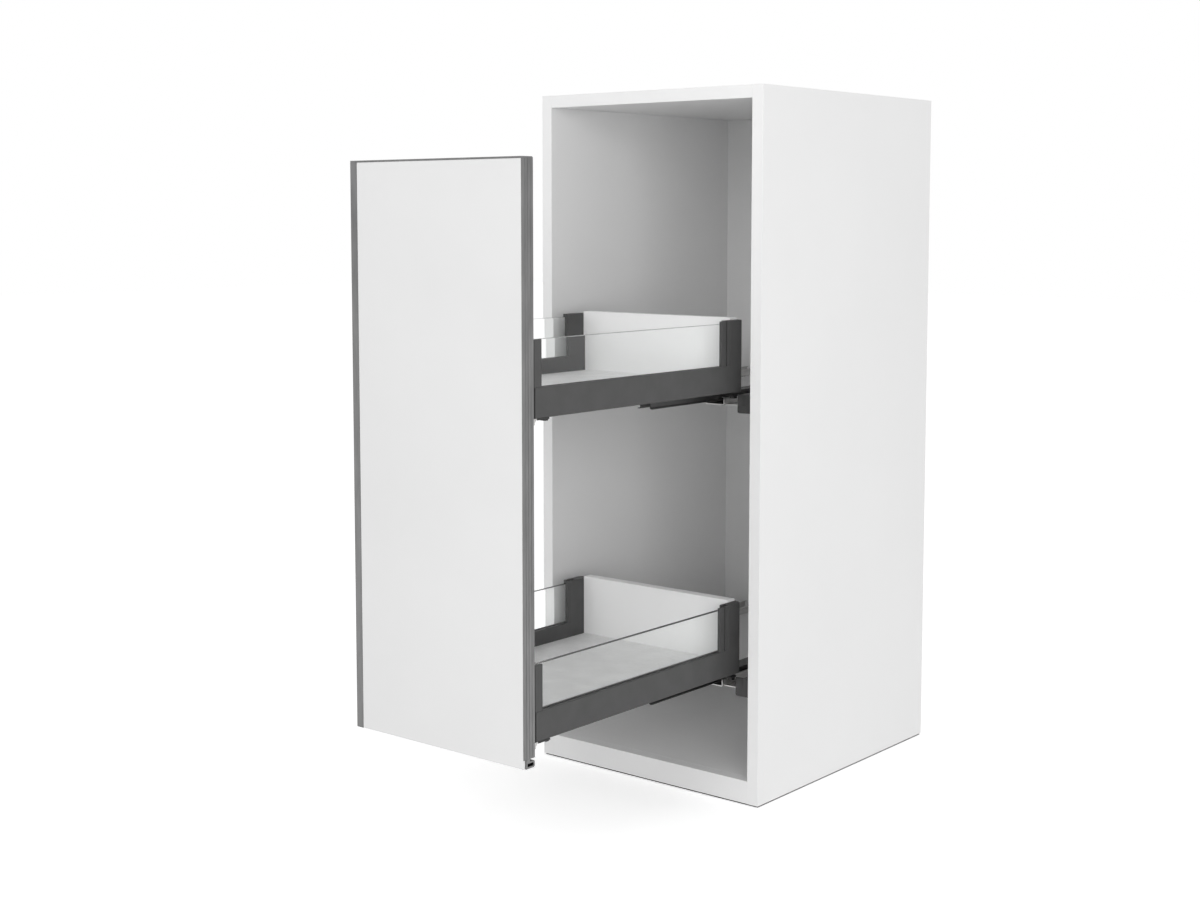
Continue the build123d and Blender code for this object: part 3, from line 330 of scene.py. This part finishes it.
@dataclass(frozen=True)
class CoatedMetalFinish:
    """Powder coated or painted metal: a fine orange peel over an even colour."""

    name: str
    dark: Colour
    light: Colour
    roughness: float = 0.4
    smoother: float = 0.04
    rougher: float = 0.06
    cloud: float = 30 * MM
    sheen_patch: float = 12 * MM
    cloud_detail: float = 4.0
    peel: float = 0.9 * MM
    peel_detail: float = 2.0
    peel_height: float = 0.03 * MM
    specular: float = 0.5

    def make(self) -> bpy.types.Material:
        """Builds the material.

        Returns:
            The material.
        """
        nodes = Nodes(self.name)
        cloud = nodes.noise(self.cloud, self.cloud_detail)
        nodes.colour(nodes.blend(cloud, self.dark, self.light))
        patch = nodes.noise(self.sheen_patch, self.cloud_detail)
        low, high = self.roughness - self.smoother, self.roughness + self.rougher
        nodes.gloss(nodes.spread(patch, low, high))
        nodes.set(Specular_IOR_Level=self.specular)
        nodes.bump(nodes.noise(self.peel, self.peel_detail), self.peel_height)
        return nodes.material


@dataclass(frozen=True)
class BareMetalFinish:
    """Bare metal with fine drawn lines along one axis and cloudy reflections."""

    name: str
    dark: Colour
    light: Colour
    grain: tuple[float, float, float]
    roughness: float = 0.34
    smoother: float = 0.07
    rougher: float = 0.1
    cloud: float = 10 * MM
    cloud_detail: float = 4.0
    cloud_contrast: float = 0.6
    line: float = 0.35 * MM
    line_detail: float = 2.0
    line_contrast: float = 0.5
    line_height: float = 0.012 * MM

    def make(self) -> bpy.types.Material:
        """Builds the material.

        Returns:
            The material.
        """
        nodes = Nodes(self.name)
        cloud = nodes.noise(self.cloud, self.cloud_detail, self.cloud_contrast, self.grain)
        nodes.colour(nodes.blend(cloud, self.dark, self.light))
        run = tuple(stretch * stretch for stretch in self.grain)
        lines = nodes.noise(self.line, self.line_detail, self.line_contrast, run)
        low, high = self.roughness - self.smoother, self.roughness + self.rougher
        nodes.gloss(nodes.spread(lines, low, high))
        nodes.set(Metallic=1.0)
        nodes.bump(lines, self.line_height)
        return nodes.material


@dataclass(frozen=True)
class PlasticFinish:
    """Moulded plastic with a fine spark eroded grain."""

    name: str
    dark: Colour
    light: Colour
    roughness: float = 0.45
    smoother: float = 0.05
    rougher: float = 0.07
    cloud: float = 10 * MM
    sheen_patch: float = 5 * MM
    detail: float = 3.0
    grain: float = 0.6 * MM
    grain_height: float = 0.03 * MM

    def make(self) -> bpy.types.Material:
        """Builds the material.

        Returns:
            The material.
        """
        nodes = Nodes(self.name)
        cloud = nodes.noise(self.cloud, self.detail)
        nodes.colour(nodes.blend(cloud, self.dark, self.light))
        patch = nodes.noise(self.sheen_patch, self.detail)
        low, high = self.roughness - self.smoother, self.roughness + self.rougher
        nodes.gloss(nodes.spread(patch, low, high))
        nodes.bump(nodes.noise(self.grain, self.detail), self.grain_height)
        return nodes.material


@dataclass(frozen=True)
class ClearGlassFinish:
    """Clear toughened glass with a real pane's faint waves and film, which lets lamps through."""

    name: str
    tint: Colour = (0.985, 0.992, 0.988)
    shade: Colour = (0.93, 0.94, 0.935)
    reflection: Colour = (0.15, 0.15, 0.15)
    refraction: float = 1.46
    film: float = 50 * MM
    film_detail: float = 4.0
    film_roughness: float = 0.03
    wave: float = 120 * MM
    wave_detail: float = 1.0
    wave_height: float = 0.04 * MM
    wave_strength: float = 0.3

    def make(self) -> bpy.types.Material:
        """Builds the material.

        Returns:
            The material.
        """
        nodes = Nodes(self.name)
        nodes.set(Base_Color=(*self.tint, 1.0), Transmission_Weight=1.0)
        nodes.set(IOR=self.refraction, Specular_Tint=(*self.reflection, 1.0))
        film = nodes.noise(self.film, self.film_detail)
        nodes.gloss(nodes.spread(film, 0.0, self.film_roughness))
        wave = nodes.noise(self.wave, self.wave_detail)
        nodes.bump(wave, self.wave_height, self.wave_strength)
        nodes.pass_lamps(self.shade)
        return nodes.material


@dataclass(frozen=True)
class LacqueredGlassFinish:
    """Glass with a pale lacquer behind it: an even colour under a clear glossy face."""

    name: str
    dark: Colour
    light: Colour
    roughness: float = 0.32
    rougher: float = 0.05
    cloud: float = 200 * MM
    cloud_detail: float = 3.0
    film: float = 30 * MM
    film_detail: float = 4.0
    specular: float = 0.3
    coat: float = 0.25
    coat_roughness: float = 0.12
    wave: float = 150 * MM
    wave_detail: float = 1.0
    wave_height: float = 0.04 * MM
    wave_strength: float = 0.2

    def make(self) -> bpy.types.Material:
        """Builds the material.

        Returns:
            The material.
        """
        nodes = Nodes(self.name)
        cloud = nodes.noise(self.cloud, self.cloud_detail)
        nodes.colour(nodes.blend(cloud, self.dark, self.light))
        film = nodes.noise(self.film, self.film_detail)
        nodes.gloss(nodes.spread(film, self.roughness, self.roughness + self.rougher))
        nodes.set(Specular_IOR_Level=self.specular)
        nodes.set(Coat_Weight=self.coat, Coat_Roughness=self.coat_roughness)
        wave = nodes.noise(self.wave, self.wave_detail)
        nodes.bump(wave, self.wave_height, self.wave_strength)
        return nodes.material


@dataclass(frozen=True)
class DowelFinish:
    """Plain beech with its grain along the dowel."""

    name: str
    dark: Colour = (0.42, 0.27, 0.15)
    light: Colour = (0.62, 0.44, 0.27)
    grain: float = 0.8 * MM
    grain_detail: float = 4.0
    grain_contrast: float = 0.6
    grain_run: tuple[float, float, float] = (18.0, 1.0, 1.0)
    grain_height: float = 0.05 * MM
    smoothest: float = 0.55
    roughest: float = 0.7

    def make(self) -> bpy.types.Material:
        """Builds the material.

        Returns:
            The material.
        """
        nodes = Nodes(self.name)
        grain = nodes.noise(self.grain, self.grain_detail, self.grain_contrast, self.grain_run)
        nodes.colour(nodes.blend(grain, self.dark, self.light))
        nodes.gloss(nodes.spread(grain, self.smoothest, self.roughest))
        nodes.bump(grain, self.grain_height)
        return nodes.material


FINISHES = {
    Slot.WHITE_BOARD: BoardFinish("white_board", grey(237), grey(239), cloud=0.25),
    Slot.EDGE_BAND: BoardFinish("edge_band", grey(238), grey(241), roughness=0.34),
    Slot.DOWEL_WOOD: DowelFinish("dowel_wood"),
    Slot.ZINC_STEEL: BareMetalFinish(
        "zinc_steel", grey(176, 0.01), grey(205, 0.01), (1.0, 3.0, 1.0)
    ),
    Slot.DARK_STEEL: CoatedMetalFinish("dark_steel", grey(26), grey(36), roughness=0.35),
    Slot.SCREW_STEEL: BareMetalFinish(
        "screw_steel", grey(180), grey(212), (1.0, 1.0, 1.0), roughness=0.28
    ),
    Slot.BLACK_PLASTIC: PlasticFinish("black_plastic", grey(22), grey(30)),
    Slot.DARK_PLASTIC: PlasticFinish("dark_plastic", grey(44), grey(54)),
    Slot.ROLLER_PLASTIC: PlasticFinish("roller_plastic", grey(205), grey(222), roughness=0.35),
    Slot.GREY_METAL: CoatedMetalFinish(
        "grey_metal", grey(75), grey(80), roughness=0.46, specular=0.18
    ),
    Slot.CLEAR_GLASS: ClearGlassFinish("clear_glass"),
    Slot.FRONT_GLASS: LacqueredGlassFinish("front_glass", grey(220), grey(223)),
    Slot.FRAME_ALUMINIUM: BareMetalFinish(
        "frame_aluminium", grey(116), grey(134), (1.0, 1.0, 7.0), roughness=0.36
    ),
    Slot.BASE_BOARD: DecorFinish("base_board", grey(222), grey(246)),
}


class Dresser:
    """Gives CAD nodes their finishes, and makes copies of them with softened edges."""

    def __init__(self) -> None:
        """Builds every finish once."""
        self.materials = {slot: finish.make() for slot, finish in FINISHES.items()}
        self.slots = {
            part["node"]: Slot(part["material_slot"]) for part in frame["record"]["subparts"]
        }

    def material_of(self, node: str) -> bpy.types.Material:
        """Gives the finish of a CAD node's slot."""
        return self.materials[self.slots[node]]

    def paint(self, node: str) -> None:
        """Puts a CAD node's finish on its own mesh.

        Args:
            node: The CAD node.
        """
        target = frame["nodes"][node]
        target.data.materials.clear()
        target.data.materials.append(self.material_of(node))
        log.info("finished node %s", node)

    def merged(self, node: str) -> bmesh.types.BMesh:
        """Copies a node's mesh as one closed surface with its flat triangles joined.

        Args:
            node: The CAD node.

        Returns:
            The copy, which the caller frees.
        """
        shape = bmesh.new()
        shape.from_mesh(frame["nodes"][node].data)
        for layer in list(shape.loops.layers.float_vector.values()):
            shape.loops.layers.float_vector.remove(layer)
        bmesh.ops.remove_doubles(shape, verts=shape.verts, dist=MERGE_DISTANCE)
        bmesh.ops.dissolve_limit(
            shape, angle_limit=FLAT_ANGLE, verts=shape.verts, edges=shape.edges
        )
        return shape

    def soften(
        self,
        node: str,
        body: Body,
        width: float,
        segments: int = ROUNDING_STEPS,
        reshape: Callable[[str, bmesh.types.BMesh], None] | None = None,
    ) -> bpy.types.Object:
        """Stands a copy with rounded edges in for a CAD node.

        Args:
            node: The CAD node.
            body: The body that carries it.
            width: The rounding's width in metres.
            segments: The rounding's steps.
            reshape: Changes the copy before its edges are rounded.

        Returns:
            The new piece.
        """
        shape = self.merged(node)
        if reshape is not None:
            reshape(node, shape)
        piece = self.piece(f"{node}_softened", shape, self.slots[node], body)
        rounding = piece.modifiers.new("rounded_edges", "BEVEL")
        rounding.width = width
        rounding.segments = segments
        rounding.limit_method = "ANGLE"
        rounding.angle_limit = BEVEL_ANGLE
        rounding.miter_outer = "MITER_ARC"
        weighting = piece.modifiers.new("even_shading", "WEIGHTED_NORMAL")
        weighting.weight = SHADING_WEIGHT
        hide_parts(node)
        log.info("softened node %s", node)
        return piece

    def piece(
        self, name: str, shape: bmesh.types.BMesh, slot: Slot, body: Body
    ) -> bpy.types.Object:
        """Makes a riding, finished piece from a bmesh, and frees the bmesh.

        Args:
            name: The piece's name.
            shape: Its form, already in place.
            slot: The record's slot that it takes its finish from.
            body: The body that carries it.

        Returns:
            The new piece.
        """
        mesh = bpy.data.meshes.new(name)
        shape.to_mesh(mesh)
        shape.free()
        if "custom_normal" in mesh.attributes:
            mesh.attributes.remove(mesh.attributes["custom_normal"])
        mesh.materials.clear()
        mesh.materials.append(self.materials[slot])
        mesh.polygons.foreach_set("use_smooth", [True] * len(mesh.polygons))
        mesh.polygons.foreach_set("material_index", [0] * len(mesh.polygons))
        mesh.update()
        made = bpy.data.objects.new(name, mesh)
        bpy.context.scene.collection.objects.link(made)
        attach(made, body.value)
        return made


@dataclass(frozen=True)
class ScrewPlace:
    """Where one of the CAD's plain screws sits, and its main sizes."""

    top: Vector
    direction: Vector
    length: float
    head_radius: float
    head_height: float
    shank_radius: float


@dataclass
class Screws:
    """Screws with rounded heads, cross recesses and tapered tips, on the CAD's places."""

    sides: int = 24
    sunk_height: float = 0.2
    crown: float = 0.6
    shoulder: float = 0.9
    shoulder_drop: float = 0.18
    rim_drop: float = 0.6
    sunk_face: float = 0.97
    sunk_drop: float = 0.03
    rim_share: float = 0.97
    recess_share: float = 0.75
    recess_reaches: tuple[float, ...] = (0.56, 0.5, 0.22, 0.19, 0.22, 0.5)
    recess_taper: float = 0.7
    tip_share: float = 0.35
    taper_share: float = 0.3

    def dress(self, dresser: Dresser, node: str, body: Body) -> None:
        """Stands detailed screws in for a node of plain ones.

        Args:
            dresser: Finishes the piece.
            node: The CAD node that holds the screws.
            body: The body that carries them.
        """
        plain = dresser.merged(node)
        shape = bmesh.new()
        places = [self.place_of(island) for island in self.islands(plain)]
        for place in places:
            self.add(shape, place)
        plain.free()
        bmesh.ops.recalc_face_normals(shape, faces=shape.faces)
        piece = dresser.piece(f"{node}_detailed", shape, dresser.slots[node], body)
        piece.data.set_sharp_from_angle(angle=BEVEL_ANGLE)
        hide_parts(node)
        log.info("built %d screws for node %s", len(places), node)

    def islands(self, shape: bmesh.types.BMesh) -> list[list[bmesh.types.BMVert]]:
        """Splits a mesh into its loose parts.

        Args:
            shape: The mesh.

        Returns:
            Each part's vertices.
        """
        waiting = set(shape.verts)
        parts = []
        while waiting:
            part = [waiting.pop()]
            for vert in part:
                for edge in vert.link_edges:
                    other = edge.other_vert(vert)
                    if other in waiting:
                        waiting.remove(other)
                        part.append(other)
            parts.append(part)
        return parts

    def place_of(self, island: list[bmesh.types.BMVert]) -> ScrewPlace:
        """Measures a plain screw.

        Args:
            island: Its vertices.

        Returns:
            Its place and sizes.
        """
        points = [vert.co.copy() for vert in island]
        low = Vector([min(p[i] for p in points) for i in range(3)])
        high = Vector([max(p[i] for p in points) for i in range(3)])
        extent = high - low
        along = max(range(3), key=lambda i: extent[i])
        middle = (low + high) / 2

        def reach(point: Vector) -> float:
            """Gives a point's distance from the screw's axis."""
            return math.hypot(*(point[i] - middle[i] for i in range(3) if i != along))

        head_radius = max(reach(p) for p in points)
        rim = [p[along] for p in points if reach(p) > self.rim_share * head_radius]
        at_top = abs(max(rim) - high[along]) < abs(min(rim) - low[along])
        direction = Vector([0.0, 0.0, 0.0])
        direction[along] = 1.0 if at_top else -1.0
        top = middle.copy()
        top[along] = high[along] if at_top else low[along]
        tip = low[along] if at_top else high[along]
        ends = [reach(p) for p in points if abs(p[along] - tip) < MERGE_DISTANCE]
        return ScrewPlace(
            top=top,
            direction=direction,
            length=extent[along],
            head_radius=head_radius,
            head_height=max(abs(v - top[along]) for v in rim),
            shank_radius=max(ends),
        )

    def ring(
        self, shape: bmesh.types.BMesh, reaches: tuple[float, ...], level: float
    ) -> list[bmesh.types.BMEdge]:
        """Adds a closed ring whose radius repeats a pattern round the axis.

        Args:
            shape: The mesh to add to.
            reaches: The radii, repeated round the ring.
            level: The ring's height.

        Returns:
            The ring's edges.
        """
        made = bmesh.ops.create_circle(shape, segments=self.sides, radius=1.0)["verts"]
        for vert in made:
            turn = round(math.atan2(vert.co.y, vert.co.x) / math.tau * self.sides)
            reach = reaches[turn % len(reaches)]
            vert.co = Vector((vert.co.x * reach, vert.co.y * reach, level))
        return list({edge for vert in made for edge in vert.link_edges})

    def add(self, shape: bmesh.types.BMesh, place: ScrewPlace) -> None:
        """Adds one screw.

        Args:
            shape: The mesh to add to.
            place: Where it sits and how large it is.
        """
        radius = place.head_radius
        height = place.head_height
        depth = self.recess_share * max(height, place.shank_radius)
        sunk = height < self.sunk_height * radius
        seat = place.head_radius - place.shank_radius if sunk else height
        recess = tuple(share * radius for share in self.recess_reaches)
        floor = tuple(share * self.recess_taper for share in recess)
        rings = [(floor, -depth), (recess, -MERGE_DISTANCE)]
        if not sunk:
            rings.append(((self.crown * radius,), 0.0))
            rings.append(((self.shoulder * radius,), -self.shoulder_drop * height))
            rings.append(((radius,), -self.rim_drop * height))
            rings.append(((radius,), -seat))
        else:
            rings.append(((self.sunk_face * radius,), 0.0))
            rings.append(((radius,), -self.sunk_drop * radius))
        rings.append(((place.shank_radius,), -seat - MERGE_DISTANCE))
        taper = min(place.shank_radius, self.taper_share * place.length)
        rings.append(((place.shank_radius,), -place.length + taper))
        rings.append(((self.tip_share * place.shank_radius,), -place.length))
        screw = bmesh.new()
        loops = [self.ring(screw, *ring) for ring in rings]
        for inner, outer in zip(loops, loops[1:]):
            bmesh.ops.bridge_loops(screw, edges=inner + outer)
        for end in (loops[0], loops[-1]):
            bmesh.ops.contextual_create(screw, geom=end)
        bmesh.ops.recalc_face_normals(screw, faces=screw.faces)
        turn = Vector((0.0, 0.0, 1.0)).rotation_difference(place.direction)
        bmesh.ops.transform(
            screw,
            matrix=Matrix.Translation(place.top) @ turn.to_matrix().to_4x4(),
            verts=screw.verts,
        )
        part = bpy.data.meshes.new("screw_part")
        screw.to_mesh(part)
        screw.free()
        shape.from_mesh(part)
        bpy.data.meshes.remove(part)


@dataclass
class Carcass:
    """The white carcass: boards with eased edges, tapes and fixings."""

    board_edge: float = 0.6 * MM
    fitting_edge: float = 0.6 * MM
    sheet_edge: float = 0.25 * MM
    boards: tuple[str, ...] = (
        "left_side_panel",
        "right_side_panel",
        "top_panel",
        "bottom_panel",
        "back_panel",
        "front_base_rail",
        "rear_base_rail",
    )
    screw_nodes: tuple[str, ...] = ("back_panel_screws", "runner_screws")
    bracket_fronts: tuple[float, ...] = (7 * MM, 300 * MM)
    web_thickness: float = 2.4 * MM
    web_reach: tuple[float, float] = (156 * MM, 169 * MM)
    web_top_drop: float = 2 * MM
    web_edge: float = 0.5 * MM

    def dress(self, dresser: Dresser) -> None:
        """Softens the boards and fittings and finishes the rest.

        Args:
            dresser: Makes and finishes the pieces.
        """
        for node in self.boards:
            dresser.soften(node, Body.CARCASS, self.board_edge)
        dresser.soften("edge_bands", Body.CARCASS, self.sheet_edge)
        dresser.soften("wall_brackets", Body.CARCASS, self.fitting_edge)
        dresser.soften("soft_close_housings", Body.CARCASS, self.fitting_edge)
        for node in self.screw_nodes:
            Screws().dress(dresser, node, Body.CARCASS)
        dresser.paint("carcass_dowels")
        self.add_bracket_webs(dresser)

    def add_bracket_webs(self, dresser: Dresser) -> None:
        """Closes each wall bracket's front end with a web, as its moulding has.

        Args:
            dresser: Makes and finishes the piece.
        """
        shape = bmesh.new()
        inner, outer = self.web_reach
        for drawer, level in DRAWERS.items():
            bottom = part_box(f"{drawer}_right_cabinet_rail")[0].z
            top = level - self.web_top_drop
            for front in self.bracket_fronts:
                for side in (-1, 1):
                    web = bmesh.ops.create_cube(shape, size=1.0)["verts"]
                    size = (outer - inner, self.web_thickness, top - bottom)
                    middle = (
                        side * (inner + outer) / 2,
                        front + self.web_thickness / 2,
                        (top + bottom) / 2,
                    )
                    bmesh.ops.scale(shape, vec=size, verts=web)
                    bmesh.ops.translate(shape, vec=middle, verts=web)
        bmesh.ops.bevel(
            shape,
            geom=shape.edges[:],
            offset=self.web_edge,
            affect="EDGES",
            segments=ROUNDING_STEPS,
            profile=0.5,
            material=-1,
        )
        dresser.piece("wall_bracket_webs", shape, Slot.DARK_PLASTIC, Body.CARCASS)
        log.info("built the wall brackets' webs")


@dataclass
class Runners:
    """The four telescopic runners with their carriages, catches and levers."""

    sheet_edge: float = 0.2 * MM
    plastic_edge: float = 0.35 * MM

    def dress(self, dresser: Dresser) -> None:
        """Softens the rails, cages and catches and finishes the rollers.

        Args:
            dresser: Makes and finishes the pieces.
        """
        for drawer in DRAWERS:
            for side in SIDES:
                dresser.soften(f"{drawer}_{side}_cabinet_rail", Body.CARCASS, self.sheet_edge)
                dresser.soften(
                    f"{drawer}_{side}_intermediate_rail", Body.INTERMEDIATE, self.sheet_edge
                )
                dresser.paint(f"{drawer}_{side}_release_lever")
        dresser.soften("lower_carriage_cages", Body.LOWER_CARRIAGES, self.plastic_edge)
        dresser.soften("upper_carriage_cages", Body.UPPER_CARRIAGES, self.plastic_edge)
        dresser.soften("soft_close_catches", Body.CATCHES, self.plastic_edge)
        dresser.paint("lower_carriage_rollers")
        dresser.paint("upper_carriage_rollers")


@dataclass
class PullOut:
    """The drawers and the tall front that carries them."""

    metal_edge: float = 0.5 * MM
    sheet_edge: float = 0.2 * MM
    board_edge: float = 0.7 * MM
    glass_edge: float = 0.6 * MM
    post_strip: float = 20 * MM
    post_foot_step: float = 12 * MM
    inner_wall_step: float = 4 * MM
    outer_strip_step: float = 12 * MM
    rail_height: float = 38 * MM
    glass_middle: float = 142.25 * MM
    near: float = 0.1 * MM
    # The drawer backs' board is the white board made lighter, as painted light against the shade
    # inside the drawers.
    painted_light_back_finish: BoardFinish = BoardFinish("drawer_back_painted_light_board", grey(249), grey(252), cloud=0.25)
    front_parts: tuple[str, ...] = (
        "left_grip_stile",
        "right_stile",
        "front_top_rail",
        "front_bottom_rail",
        "front_cross_rails",
        "corner_angles",
    )

    def dress(self, dresser: Dresser) -> None:
        """Softens every piece of the drawers and of the front.

        Args:
            dresser: Makes and finishes the pieces.
        """
        painted_light_board = self.painted_light_back_finish.make()
        for drawer in DRAWERS:
            for side in SIDES:
                dresser.soften(f"{drawer}_{side}_side_rail", Body.PULL_OUT, self.sheet_edge)
                dresser.soften(
                    f"{drawer}_{side}_rear_post",
                    Body.PULL_OUT,
                    self.metal_edge,
                    reshape=self.fit_left_post,
                )
                dresser.soften(f"{drawer}_{side}_side_glass", Body.PULL_OUT, self.glass_edge)
            dresser.soften(f"{drawer}_base_panel", Body.PULL_OUT, self.board_edge)
            back = dresser.soften(f"{drawer}_drawer_back", Body.PULL_OUT, self.board_edge)
            # Painted light: the drawer backs take the lighter copy of the white board instead of
            # their slot's finish.
            back.data.materials[0] = painted_light_board
        for node in ("front_posts", "drawer_locks", "activators", "rail_end_caps"):
            dresser.soften(node, Body.PULL_OUT, self.metal_edge)
        for node in ("drawer_members", "front_brackets", *self.front_parts):
            dresser.soften(node, Body.PULL_OUT, self.sheet_edge)
        dresser.soften("front_glass", Body.PULL_OUT, self.glass_edge)
        Screws().dress(dresser, "drawer_screws", Body.PULL_OUT)

    def fit_left_post(self, node: str, shape: bmesh.types.BMesh) -> None:
        """Carries a left rear post's inner wall forward and draws its outer strip back behind it.

        Args:
            node: The post's CAD node.
            shape: The copy of its mesh.
        """
        if "left" not in node:
            return
        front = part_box(node)[0].y
        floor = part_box(node)[0].z + self.rail_height
        strip_share = 1 - self.outer_strip_step / self.post_strip
        for vert in shape.verts:
            depth = vert.co.y - front
            if vert.co.z < floor - self.near or depth > self.post_strip + self.near:
                continue
            if abs(vert.co.x) < self.glass_middle:
                if depth > self.post_strip - self.near:
                    vert.co.y = front + self.inner_wall_step
            elif abs(depth - self.post_foot_step) > self.near:
                vert.co.y = front + self.outer_strip_step + depth * strip_share


@dataclass
class Studio:
    """The pale floor, the soft light and the camera of the photograph."""

    picture_width: float = 1200.0
    focal_pixels: float = 1767.1
    turn: float = math.radians(39.434)
    tilt: float = math.radians(5.208)
    shift: float = -0.06
    eye: tuple[float, float, float] = (1.57145, -2.01746, 0.82934)
    sensor: float = 36.0
    nearest: float = 0.05
    farthest: float = 60.0
    floor_size: float = 30.0
    floor_level: float = -2.2 * MM
    # The near-black sheet just above the floor under the carcass is a painted shadow for the gap
    # below the object.
    painted_gap_shadow_level: float = -1.9 * MM
    painted_gap_shadow_inset: float = 1 * MM
    painted_gap_shadow_colour: tuple[float, ...] = (0.03, 0.03, 0.03, 1.0)
    world_strength: float = 0.66
    key_place: tuple[float, float, float] = (2.6, -2.3, 1.0)
    key_size: float = 1.8
    key_power: float = 38.0
    fill_place: tuple[float, float, float] = (0.2, -3.3, 2.2)
    fill_size: float = 1.8
    fill_power: float = 18.0
    floor_lift: float = 0.4
    lamp_aim: tuple[float, float, float] = (0.0, 0.0, 0.5)

    def build(self) -> None:
        """Builds the world, floor, lamps and camera."""
        self.add_world()
        self.add_floor()
        # Painted shadow: a near-black sheet under the carcass.
        self.add_painted_gap_shadow()
        self.add_lamp("key_light", self.key_place, self.key_size, self.key_power)
        self.add_lamp("fill_light", self.fill_place, self.fill_size, self.fill_power)
        self.add_camera()

    def add_world(self) -> None:
        """Lights all round evenly, and shows as white wherever it is seen."""
        world = bpy.data.worlds.new("studio_surround")
        bpy.context.scene.world = world
        world.use_nodes = True
        tree = world.node_tree
        background = tree.nodes["Background"]
        background.inputs["Color"].default_value = WHITE
        strength = self.where_seen(tree, self.world_strength, 1.0)
        tree.links.new(strength, background.inputs["Strength"])

    def where_seen(
        self, tree: bpy.types.NodeTree, unseen: float, seen: float
    ) -> bpy.types.NodeSocket:
        """Gives one value to the rays that see the surround and another to those that light.

        Args:
            tree: The node tree to add to.
            unseen: The value on rays that only carry light.
            seen: The value on camera, glossy and transmission rays.

        Returns:
            The value.
        """
        rays = tree.nodes.new("ShaderNodeLightPath")
        total = rays.outputs["Is Camera Ray"]
        for kind in ("Is Glossy Ray", "Is Transmission Ray"):
            joined = tree.nodes.new("ShaderNodeMath")
            joined.operation = "MAXIMUM"
            tree.links.new(total, joined.inputs[0])
            tree.links.new(rays.outputs[kind], joined.inputs[1])
            total = joined.outputs["Value"]
        choice = tree.nodes.new("ShaderNodeMapRange")
        choice.inputs["To Min"].default_value = unseen
        choice.inputs["To Max"].default_value = seen
        tree.links.new(total, choice.inputs["Value"])
        return choice.outputs["Result"]

    def add_floor(self) -> None:
        """Lays a wide white floor just under the object, which keeps the object's shadow."""
        nodes = Nodes("studio_floor")
        nodes.set(Base_Color=WHITE, Emission_Color=WHITE)
        nodes.set(Roughness=1.0, Specular_IOR_Level=0.0)
        lift = self.where_seen(nodes.tree, 0.0, self.floor_lift)
        nodes.tree.links.new(lift, nodes.shader.inputs["Emission Strength"])
        self.lay_sheet(nodes, (self.floor_size, self.floor_size), (0.0, 0.0, self.floor_level))

    def add_painted_gap_shadow(self) -> None:
        """Lays a near-black sheet in the narrow gap under the carcass, a painted shadow where no
        light gets in.
        """
        low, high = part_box("left_side_panel")[0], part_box("right_side_panel")[1]
        middle = (low + high) / 2
        span = high - low - 2 * Vector((self.painted_gap_shadow_inset, self.painted_gap_shadow_inset, 0.0))
        nodes = Nodes("studio_painted_gap_shadow")
        nodes.set(Base_Color=self.painted_gap_shadow_colour, Roughness=1.0)
        place = (middle.x, middle.y, self.painted_gap_shadow_level)
        self.lay_sheet(nodes, (span.x, span.y), place)

    def lay_sheet(
        self, nodes: Nodes, span: tuple[float, float], place: tuple[float, float, float]
    ) -> None:
        """Lays a level sheet that isn't part of the object.

        Args:
            nodes: Its finish, whose name it takes.
            span: Its width and depth.
            place: Its middle.
        """
        shape = bmesh.new()
        bmesh.ops.create_grid(shape, x_segments=1, y_segments=1, size=0.5)
        bmesh.ops.scale(shape, vec=(*span, 1.0), verts=shape.verts)
        bmesh.ops.translate(shape, vec=place, verts=shape.verts)
        mesh = bpy.data.meshes.new(nodes.material.name)
        shape.to_mesh(mesh)
        shape.free()
        mesh.materials.append(nodes.material)
        sheet = bpy.data.objects.new(nodes.material.name, mesh)
        bpy.context.scene.collection.objects.link(sheet)

    def add_lamp(
        self, name: str, place: tuple[float, float, float], size: float, power: float
    ) -> None:
        """Hangs a large square lamp that faces the middle of the object.

        Args:
            name: The lamp's name.
            place: Where it hangs.
            size: Its side.
            power: Its power in watts.
        """
        lamp = bpy.data.lights.new(name, "AREA")
        lamp.shape = "SQUARE"
        lamp.size = size
        lamp.energy = power
        holder = bpy.data.objects.new(name, lamp)
        bpy.context.scene.collection.objects.link(holder)
        holder.location = place
        aim = Vector(self.lamp_aim) - Vector(place)
        holder.rotation_euler = aim.to_track_quat("-Z", "Y").to_euler()

    def add_camera(self) -> None:
        """Puts the camera where the photograph was taken, tilted and shifted a little down."""
        lens = bpy.data.cameras.new("photo_camera")
        lens.sensor_width = self.sensor
        lens.lens = self.focal_pixels / self.picture_width * self.sensor
        lens.shift_y = self.shift
        lens.clip_start = self.nearest
        lens.clip_end = self.farthest
        camera = bpy.data.objects.new("photo_camera", lens)
        bpy.context.scene.collection.objects.link(camera)
        camera.location = self.eye
        camera.rotation_euler = (math.pi / 2 - self.tilt, 0.0, self.turn)
        bpy.context.scene.camera = camera


def main() -> None:
    """Dresses the whole unit and sets up the studio."""
    logging.basicConfig(level=logging.INFO, format="%(name)s: %(message)s")
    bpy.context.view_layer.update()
    dresser = Dresser()
    Carcass().dress(dresser)
    Runners().dress(dresser)
    PullOut().dress(dresser)
    Studio().build()
    bpy.context.scene.view_settings.view_transform = "Standard"


if __name__ == "__main__":
    main()
